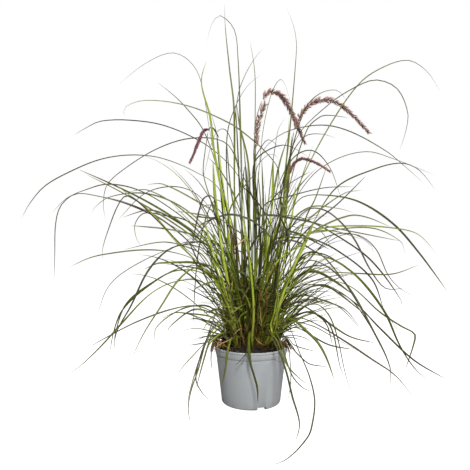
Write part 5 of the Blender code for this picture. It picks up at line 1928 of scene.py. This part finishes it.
def turned(name: str, profile: list[tuple[float, float]], sides: int) -> bpy.types.Object:
    """A closed body of revolution, grown ring by ring from a disc.

    Args:
        name: the object's name.
        profile: (radius, height) points, from the first disc's edge to the last disc's edge.
        sides: points in each ring.

    Returns:
        The object, at the origin.
    """
    bpy.ops.object.select_all(action="DESELECT")
    radius, height = profile[0]
    bpy.ops.mesh.primitive_circle_add(vertices=sides, radius=radius, fill_type="NGON",
                                      location=(0, 0, height))
    made = bpy.context.object
    made.name = name
    bpy.ops.object.transform_apply(location=True, rotation=True, scale=True)
    bpy.ops.object.mode_set(mode="EDIT")
    bpy.ops.mesh.select_all(action="SELECT")
    for (before, low), (after, high) in zip(profile, profile[1:]):
        bpy.ops.mesh.extrude_region_move(TRANSFORM_OT_translate={"value": (0, 0, high - low),
                                                                 "orient_type": "GLOBAL"})
        grow = after / before
        bpy.ops.transform.resize(value=(grow, grow, 1), center_override=(0, 0, high))
    outward_faces()
    return made


def only(piece: bpy.types.Object) -> None:
    """Selects one object and makes it the active one.

    Args:
        piece: the object.
    """
    bpy.ops.object.select_all(action="DESELECT")
    piece.select_set(True)
    bpy.context.view_layer.objects.active = piece


def apply_modifiers(piece: bpy.types.Object) -> None:
    """Applies every modifier of an object, in order.

    Args:
        piece: the object.
    """
    only(piece)
    for modifier in list(piece.modifiers):
        bpy.ops.object.modifier_apply(modifier=modifier.name)


def outward_faces() -> None:
    """Turns all faces of the mesh in edit mode outward, and leaves edit mode."""
    bpy.ops.mesh.select_all(action="SELECT")
    bpy.ops.mesh.normals_make_consistent(inside=False)
    bpy.ops.object.mode_set(mode="OBJECT")


def arc(middle: tuple[float, float], radius: float, degrees: range) -> list[tuple[float, float]]:
    """Points on part of a circle.

    Args:
        middle: the circle's middle.
        radius: its radius.
        degrees: the points' angles, 0 outward and 90 upward.

    Returns:
        The points.
    """
    angles = [math.radians(angle) for angle in degrees]
    return [(middle[0] + radius * math.cos(angle), middle[1] + radius * math.sin(angle)) for angle in angles]


@dataclass
class Pot:
    """The moulded nursery pot, its sizes in metres and its bearings in degrees.

    Its band, lip and ribs are measured down from the rim. The foot and the floor are measured from below. The
    lug is the half-moon that hangs from the band. lug_span is half of its width, lug_blunt how near its ends
    come to points, lug_proud how far it stands out from the wall, and lug_overlap how far it reaches up
    behind the band. Its thickness takes it into the wall.
    """

    wall: float = 1.6 * MM
    band_height: float = 17 * MM
    band_step: float = 1.2 * MM
    lip_height: float = 4.5 * MM
    lip_step: float = 0.6 * MM
    rim_width: float = 2.6 * MM
    rim_round: float = 0.7 * MM
    corner: float = 4.5 * MM
    foot_height: float = 7 * MM
    foot_width: float = 6 * MM
    foot_slope: float = 1 * MM
    floor: float = 2 * MM
    pad: float = 15 * MM
    sides: int = 144
    notches: int = 3
    notch_width: float = 20 * MM
    notch_first: float = -71.5
    holes: int = 6
    hole_radius: float = 5 * MM
    hole_circle: float = 38 * MM
    groove_depth: float = 0.7 * MM
    groove_height: float = 1.1 * MM
    rib_depths: tuple[float, float] = (20.5 * MM, 24 * MM)
    rib_proud: float = 0.35 * MM
    lug_middle: float = -35.0
    lug_span: float = 16.0
    lug_drop: float = 8 * MM
    lug_steps: tuple[int, int] = (36, 8)
    lug_blunt: float = 0.992
    lug_proud: float = 1.08 * MM
    lug_thickness: float = 1.8 * MM
    lug_overlap: float = 1.6 * MM
    edge: float = 0.25 * MM

    def wall_radius(self, height: float) -> float:
        """Outer radius of the tapered wall at a height."""
        top = RIM_RADIUS - self.band_step - self.lip_step
        return BASE_RADIUS + height / POT_HEIGHT * (top - BASE_RADIUS)

    def profile(self) -> list[tuple[float, float]]:
        """The pot's outline from its central pad, round the outside and down the inside.

        Returns:
            (radius, height) points in metres.
        """
        outer = BASE_RADIUS - self.corner
        foot = outer - self.foot_width
        points = [(self.pad, 0), (self.pad + self.foot_slope, self.foot_height),
                  (foot - self.foot_slope, self.foot_height), (foot, 0)]
        points += arc((outer, self.corner), self.corner, range(-90, 1, 15))
        band_low = POT_HEIGHT - self.band_height
        lip_low = POT_HEIGHT - self.lip_height
        for depth in reversed(self.rib_depths):
            middle = POT_HEIGHT - depth
            for offset, proud in ((-0.7, 0), (-0.3, 1), (0.3, 1), (0.7, 0)):
                height = middle + offset * MM
                points.append((self.wall_radius(height) + proud * self.rib_proud, height))
        wall, band, lip = self.wall_radius(band_low), RIM_RADIUS - self.lip_step, RIM_RADIUS
        for before, after, height in ((wall, wall + self.band_step, band_low), (band, lip, lip_low)):
            points += [(before, height - self.groove_height),
                       (before - self.groove_depth, height - 0.8 * self.groove_height),
                       (before - self.groove_depth, height), (after, height + 0.3 * MM)]
        edge, top = self.rim_round, POT_HEIGHT - self.rim_round
        points += arc((RIM_RADIUS - edge, top), edge, range(0, 91, 30))
        points += arc((RIM_RADIUS - self.rim_width + edge, top), edge, range(90, 181, 30))
        floor_top = self.foot_height + self.floor
        points += [(self.wall_radius(floor_top) - self.wall, floor_top), (self.pad, floor_top)]
        return points

    def cut(self, piece: bpy.types.Object, cutter: bpy.types.Object, operation: str = "DIFFERENCE") -> None:
        """Cuts a body away from the piece, or joins it on, and removes the body.

        Args:
            piece: the piece.
            cutter: the body.
            operation: "DIFFERENCE" to cut away, "UNION" to join on.
        """
        boolean = piece.modifiers.new("cut", "BOOLEAN")
        boolean.operation = operation
        boolean.solver = "EXACT"
        boolean.object = cutter
        apply_modifiers(piece)
        bpy.data.objects.remove(cutter)

    def notch(self, number: int) -> bpy.types.Object:
        """The body that one notch takes away from the foot.

        Args:
            number: of the notch, from 0.

        Returns:
            A box that is turned to the notch's bearing.
        """
        angle = math.radians(self.notch_first + 360 / self.notches * number)
        bpy.ops.object.select_all(action="DESELECT")
        bpy.ops.mesh.primitive_cube_add(
            size=1, location=(BASE_RADIUS * math.cos(angle), BASE_RADIUS * math.sin(angle), 0),
            rotation=(0, 0, angle),
            scale=(4 * self.foot_width, self.notch_width, 2 * self.foot_height - self.foot_slope))
        return bpy.context.object

    def hole(self, number: int) -> bpy.types.Object:
        """The body that one drainage hole takes away from the floor.

        Args:
            number: of the hole, from 0.

        Returns:
            A cylinder through the floor.
        """
        angle = math.tau * (number + 0.5) / self.holes
        across, back = self.hole_circle * math.cos(angle), self.hole_circle * math.sin(angle)
        bpy.ops.object.select_all(action="DESELECT")
        bpy.ops.mesh.primitive_cylinder_add(vertices=32, radius=self.hole_radius, depth=4 * self.floor,
                                            location=(across, back, self.foot_height))
        return bpy.context.object

    def lug(self) -> bpy.types.Object:
        """The half-moon that hangs from the band's lower edge.

        Returns:
            A curved closed plate.
        """
        columns, rows = self.lug_steps
        bpy.ops.object.select_all(action="DESELECT")
        bpy.ops.mesh.primitive_grid_add(x_subdivisions=columns, y_subdivisions=rows, size=2)
        plate = bpy.context.object
        band_low = POT_HEIGHT - self.band_height
        for vertex in plate.data.vertices:
            u, v = vertex.co.x * self.lug_blunt, (vertex.co.y + 1) / 2
            angle = math.radians(self.lug_middle + u * self.lug_span)
            low = band_low - self.lug_drop * math.sqrt(1 - u * u)
            height = low + v * (band_low + self.lug_overlap - low)
            radius = self.wall_radius(height) + self.lug_proud
            vertex.co = (radius * math.cos(angle), radius * math.sin(angle), height)
        thick = plate.modifiers.new("thick", "SOLIDIFY")
        thick.thickness = self.lug_thickness
        thick.offset = -1
        apply_modifiers(plate)
        bpy.ops.object.mode_set(mode="EDIT")
        outward_faces()
        return plate

    def build(self) -> None:
        """Makes the pot's shell and dresses it."""
        shell = turned("pot_shell", self.profile(), self.sides)
        self.cut(shell, self.lug(), "UNION")
        for number in range(self.notches):
            self.cut(shell, self.notch(number))
        for number in range(self.holes):
            self.cut(shell, self.hole(number))
        bevel = shell.modifiers.new("soft_edges", "BEVEL")
        bevel.width = self.edge
        bevel.segments = 2
        bevel.limit_method = "ANGLE"
        bevel.angle_limit = math.radians(50)
        apply_modifiers(shell)
        bpy.ops.object.shade_smooth_by_angle(angle=math.radians(32))
        shell.data.materials.clear()
        shell.data.materials.append(PlasticFinish().material())
        report(shell, "pot", "pot")


@dataclass
class Soil:
    """Potting soil with crumbs, bark and bits of straw on it.

    Attributes:
        gap: distance between the soil and the pot.
        relief: how uneven its top is.
        lumps: size and part of the relief of the large and the small lumps.
        rings: how many rings its top has.
        sides: points in each ring.
        crumbs: how many crumbs lie on it.
        crumb_reach: how far from the axis they lie.
        flakes: the share of them that are flakes of bark.
        straws: how many bits of straw are drawn.
        straw_reach: how far from the axis their middles lie.
        straw_limit: how far from the axis their ends may be.
    """

    gap: float = 0.3 * MM
    relief: float = 3.2 * MM
    lumps: tuple[tuple[float, float], ...] = ((18 * MM, 1.0), (5 * MM, 0.6))
    rings: int = 44
    sides: int = 120
    crumbs: int = 1700
    crumb_reach: float = 8.0 * CM
    flakes: float = 0.22
    straws: int = 56
    straw_reach: float = 6.6 * CM
    straw_limit: float = 7.9 * CM

    def bed(self, pot: Pot) -> None:
        """Makes the soil's body, with an uneven top.

        Args:
            pot: the pot that it fills.
        """
        floor = pot.foot_height + pot.floor + self.gap
        low = pot.wall_radius(floor) - pot.wall - 2 * self.gap
        high = RIM_RADIUS - pot.rim_width - 4 * self.gap
        rings = [(high * part, soil_height(high * part)) for part in np.linspace(1, 0.03, self.rings)]
        bed = turned("soil_bed", [(low * 0.05, floor), (low, floor), *rings], self.sides)
        top = bed.vertex_groups.new(name="top")
        inner = [v.index for v in bed.data.vertices
                 if v.co.z > 10 * CM and math.hypot(v.co.x, v.co.y) < high * 0.99]
        top.add(inner, 1.0, "REPLACE")
        for scale, strength in self.lumps:
            clouds = bpy.data.textures.new("clumps", "CLOUDS")
            clouds.noise_scale = scale
            heave = bed.modifiers.new("heave", "DISPLACE")
            heave.texture = clouds
            heave.texture_coords = "LOCAL"
            heave.direction = "Z"
            heave.vertex_group = "top"
            heave.mid_level = 0.62
            heave.strength = self.relief * strength
        apply_modifiers(bed)
        bpy.ops.object.shade_smooth_by_angle(angle=math.radians(60))
        bed.data.materials.append(SoilFinish().material())
        report(bed, "soil", "potting_soil")

    def add_crumbs(self) -> None:
        """Makes crumbs of peat and flakes of bark on the soil."""
        rng = np.random.default_rng([SEED, 7])
        n = self.crumbs
        radius = self.crumb_reach * np.sqrt(rng.uniform(0, 1, n))
        angle = rng.uniform(0, math.tau, n)
        size = rng.uniform(0.5, 1.0, n) ** 2 * 2.4 * MM + 0.5 * MM
        flake = rng.uniform(0, 1, n) < self.flakes
        height = np.array([soil_height(r) for r in radius]) + 0.2 * size
        centre = np.stack((radius * np.cos(angle), radius * np.sin(angle), height), axis=1)
        axis = unit(rng.normal(0, 1, (n, 3)) * (1, 1, 0.45))
        side = unit(np.cross(axis, rng.normal(0, 1, (n, 3))))
        up = np.cross(axis, side)
        long = np.where(flake, rng.uniform(1.5, 3.4, n), rng.uniform(0.8, 1.3, n)) * size
        thin = np.where(flake, 0.35, rng.uniform(0.7, 1.0, n))
        places = np.array((-0.8, -0.25, 0.35))
        girth = np.array((0.5, 1.0, 0.85))[None, :, None] * rng.uniform(0.7, 1.2, (n, 3, 6))
        ring = circles(side, thin[:, None] * up, 6)
        middle = centre[:, None] + places[None, :, None] * long[:, None, None] * axis[:, None]
        rings = middle[:, :, None] + (girth * size[:, None, None])[..., None] * ring[:, None]
        tips = centre + 0.85 * long[:, None] * axis
        strands = Strands("soil_crumbs")
        strands.add(rings, tips, 0.5, 0.0, (rng.uniform(0, 1, n) ** 1.4)[:, None, None])
        report(strands.build([CrumbFinish().material()], 25), "soil", "potting_soil")

    def add_straw(self) -> None:
        """Makes bits of dry straw that lie on the soil."""
        rng = np.random.default_rng([SEED, 8])
        n, stations = self.straws, 8
        radius = self.straw_reach * np.sqrt(rng.uniform(0.1, 1, n))
        angle = rng.uniform(0, math.tau, n)
        bearing = rng.uniform(0, math.tau, n)
        length = rng.uniform(10, 34, n) * MM
        share = np.linspace(-0.5, 0.5, stations + 1)[None, :]
        curl = rng.uniform(-1.4, 1.4, n)[:, None] * share
        steps = (share * length[:, None])[..., None]
        turn = bearing[:, None] + curl
        middle = np.stack((radius * np.cos(angle), radius * np.sin(angle), 0 * radius), axis=1)[:, None]
        line = middle + np.stack((np.cos(turn), np.sin(turn), 0 * curl), axis=2) * steps
        out = np.linalg.norm(line[..., :2], axis=2)
        line[..., 2] = np.array([[soil_height(v) for v in row] for row in out]) + 1.4 * MM
        line[..., 2] += rng.uniform(0, 3, n)[:, None] * MM * (share + 0.5)
        keep = out.max(axis=1) < self.straw_limit
        line, bearing, n = line[keep], bearing[keep], int(keep.sum())
        roll = np.zeros((n, stations + 1)) + rng.uniform(-0.8, 0.8, n)[:, None]
        half = rng.uniform(0.5, 1.7, n) * MM
        made = FILLING_SHAPE.rings(line, level_across(bearing), half, roll, np.full(n, 0.2))
        shades, slots = rng.uniform(0, 1, n), rng.choice(2, n, p=(0.3, 0.7))
        build_leaves("soil_straw", made, shades, slots, ("potting_soil",), (STRAW, BROWN))

    def build(self, pot: Pot) -> None:
        """Makes the bed, then what lies on it.

        Args:
            pot: the pot that it fills.
        """
        self.bed(pot)
        self.add_crumbs()
        self.add_straw()


# ---------------------------------------------------------------- studio


@dataclass(frozen=True)
class Softbox:
    """One large soft light.

    Attributes:
        place: where it hangs, in metres.
        size: its side, in metres.
        power: in watts.
    """

    place: tuple[float, float, float]
    size: float
    power: float

    def build(self, name: str) -> None:
        """Adds the light, aimed at the middle of the plant.

        Args:
            name: the light's name.
        """
        data = bpy.data.lights.new(name, "AREA")
        data.shape = "SQUARE"
        data.size = self.size
        data.energy = self.power
        lamp = bpy.data.objects.new(name, data)
        lamp.location = self.place
        aim = Vector(AIM) - Vector(self.place)
        lamp.rotation_euler = aim.to_track_quat("-Z", "Y").to_euler()
        bpy.context.scene.collection.objects.link(lamp)


@dataclass
class Studio:
    """White surroundings, a pale floor, three soft lights and the camera.

    Attributes:
        softboxes: the lights.
        sky: how strongly the surroundings light the plant; the camera sees them at 1.
        floor_size: the floor's side, in metres.
    """

    softboxes: tuple[Softbox, ...] = (
        Softbox((0.3, -2.0, 2.0), 0.5, 84),
        Softbox((2.0, -0.9, 1.1), 0.6, 10),
        Softbox((0.0, 0.3, 2.6), 1.0, 42),
    )
    sky: float = 0.15
    floor_size: float = 30.0

    def world(self) -> None:
        """White surroundings that light the plant less than they show."""
        made = bpy.data.worlds.new("studio")
        bpy.context.scene.world = made
        made.use_nodes = True
        canvas = Canvas(made.node_tree)
        background = made.node_tree.nodes["Background"]
        background.inputs["Color"].default_value = (1, 1, 1, 1)
        seen = canvas.add("LightPath").outputs["Is Camera Ray"]
        canvas.feed(background.inputs["Strength"], canvas.mask(seen, 0.0, 1.0))
        made.node_tree.nodes["Map Range"].inputs["To Min"].default_value = self.sky

    def floor(self) -> None:
        """A wide pale floor."""
        bpy.ops.object.select_all(action="DESELECT")
        bpy.ops.mesh.primitive_plane_add(size=self.floor_size, location=(0, 0, 0))
        floor = bpy.context.object
        floor.name = "studio_floor"
        floor.data.materials.append(FloorFinish().material())
        floor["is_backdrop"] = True

    def camera(self) -> None:
        """The camera at the photograph's viewing angle."""
        data = bpy.data.cameras.new("camera")
        data.lens = FOCAL_LENGTH
        data.sensor_width = SENSOR_WIDTH
        data.clip_end = FAR_CLIP
        camera = bpy.data.objects.new("camera", data)
        camera.location = EYE * CM
        camera.rotation_euler = (math.radians(90), 0, 0)
        bpy.context.scene.collection.objects.link(camera)
        bpy.context.scene.camera = camera

    def build(self) -> None:
        """Sets up the whole studio."""
        self.world()
        self.floor()
        self.camera()
        for number, softbox in enumerate(self.softboxes, 1):
            softbox.build(f"softbox_{number}")
        bpy.context.scene.view_settings.view_transform = "Standard"


def main() -> None:
    """Builds the plant, its pot and the studio round the frame."""
    logging.basicConfig(level=logging.INFO, format="%(message)s")
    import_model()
    low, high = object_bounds()
    limits = np.array((low.y, high.y)) / CM + (BOX_ROOM, -BOX_ROOM)
    Studio().build()
    pot = Pot()
    pot.build()
    Soil().build(pot)
    Foliage(limits).build()
    for shoots in SHOOTS:
        shoots.build(low, high)
    Litter().build()
    for flower in FLOWERS:
        flower.build_culm(limits)
        flower.build_foxtail(limits)


if __name__ == "__main__":
    main()
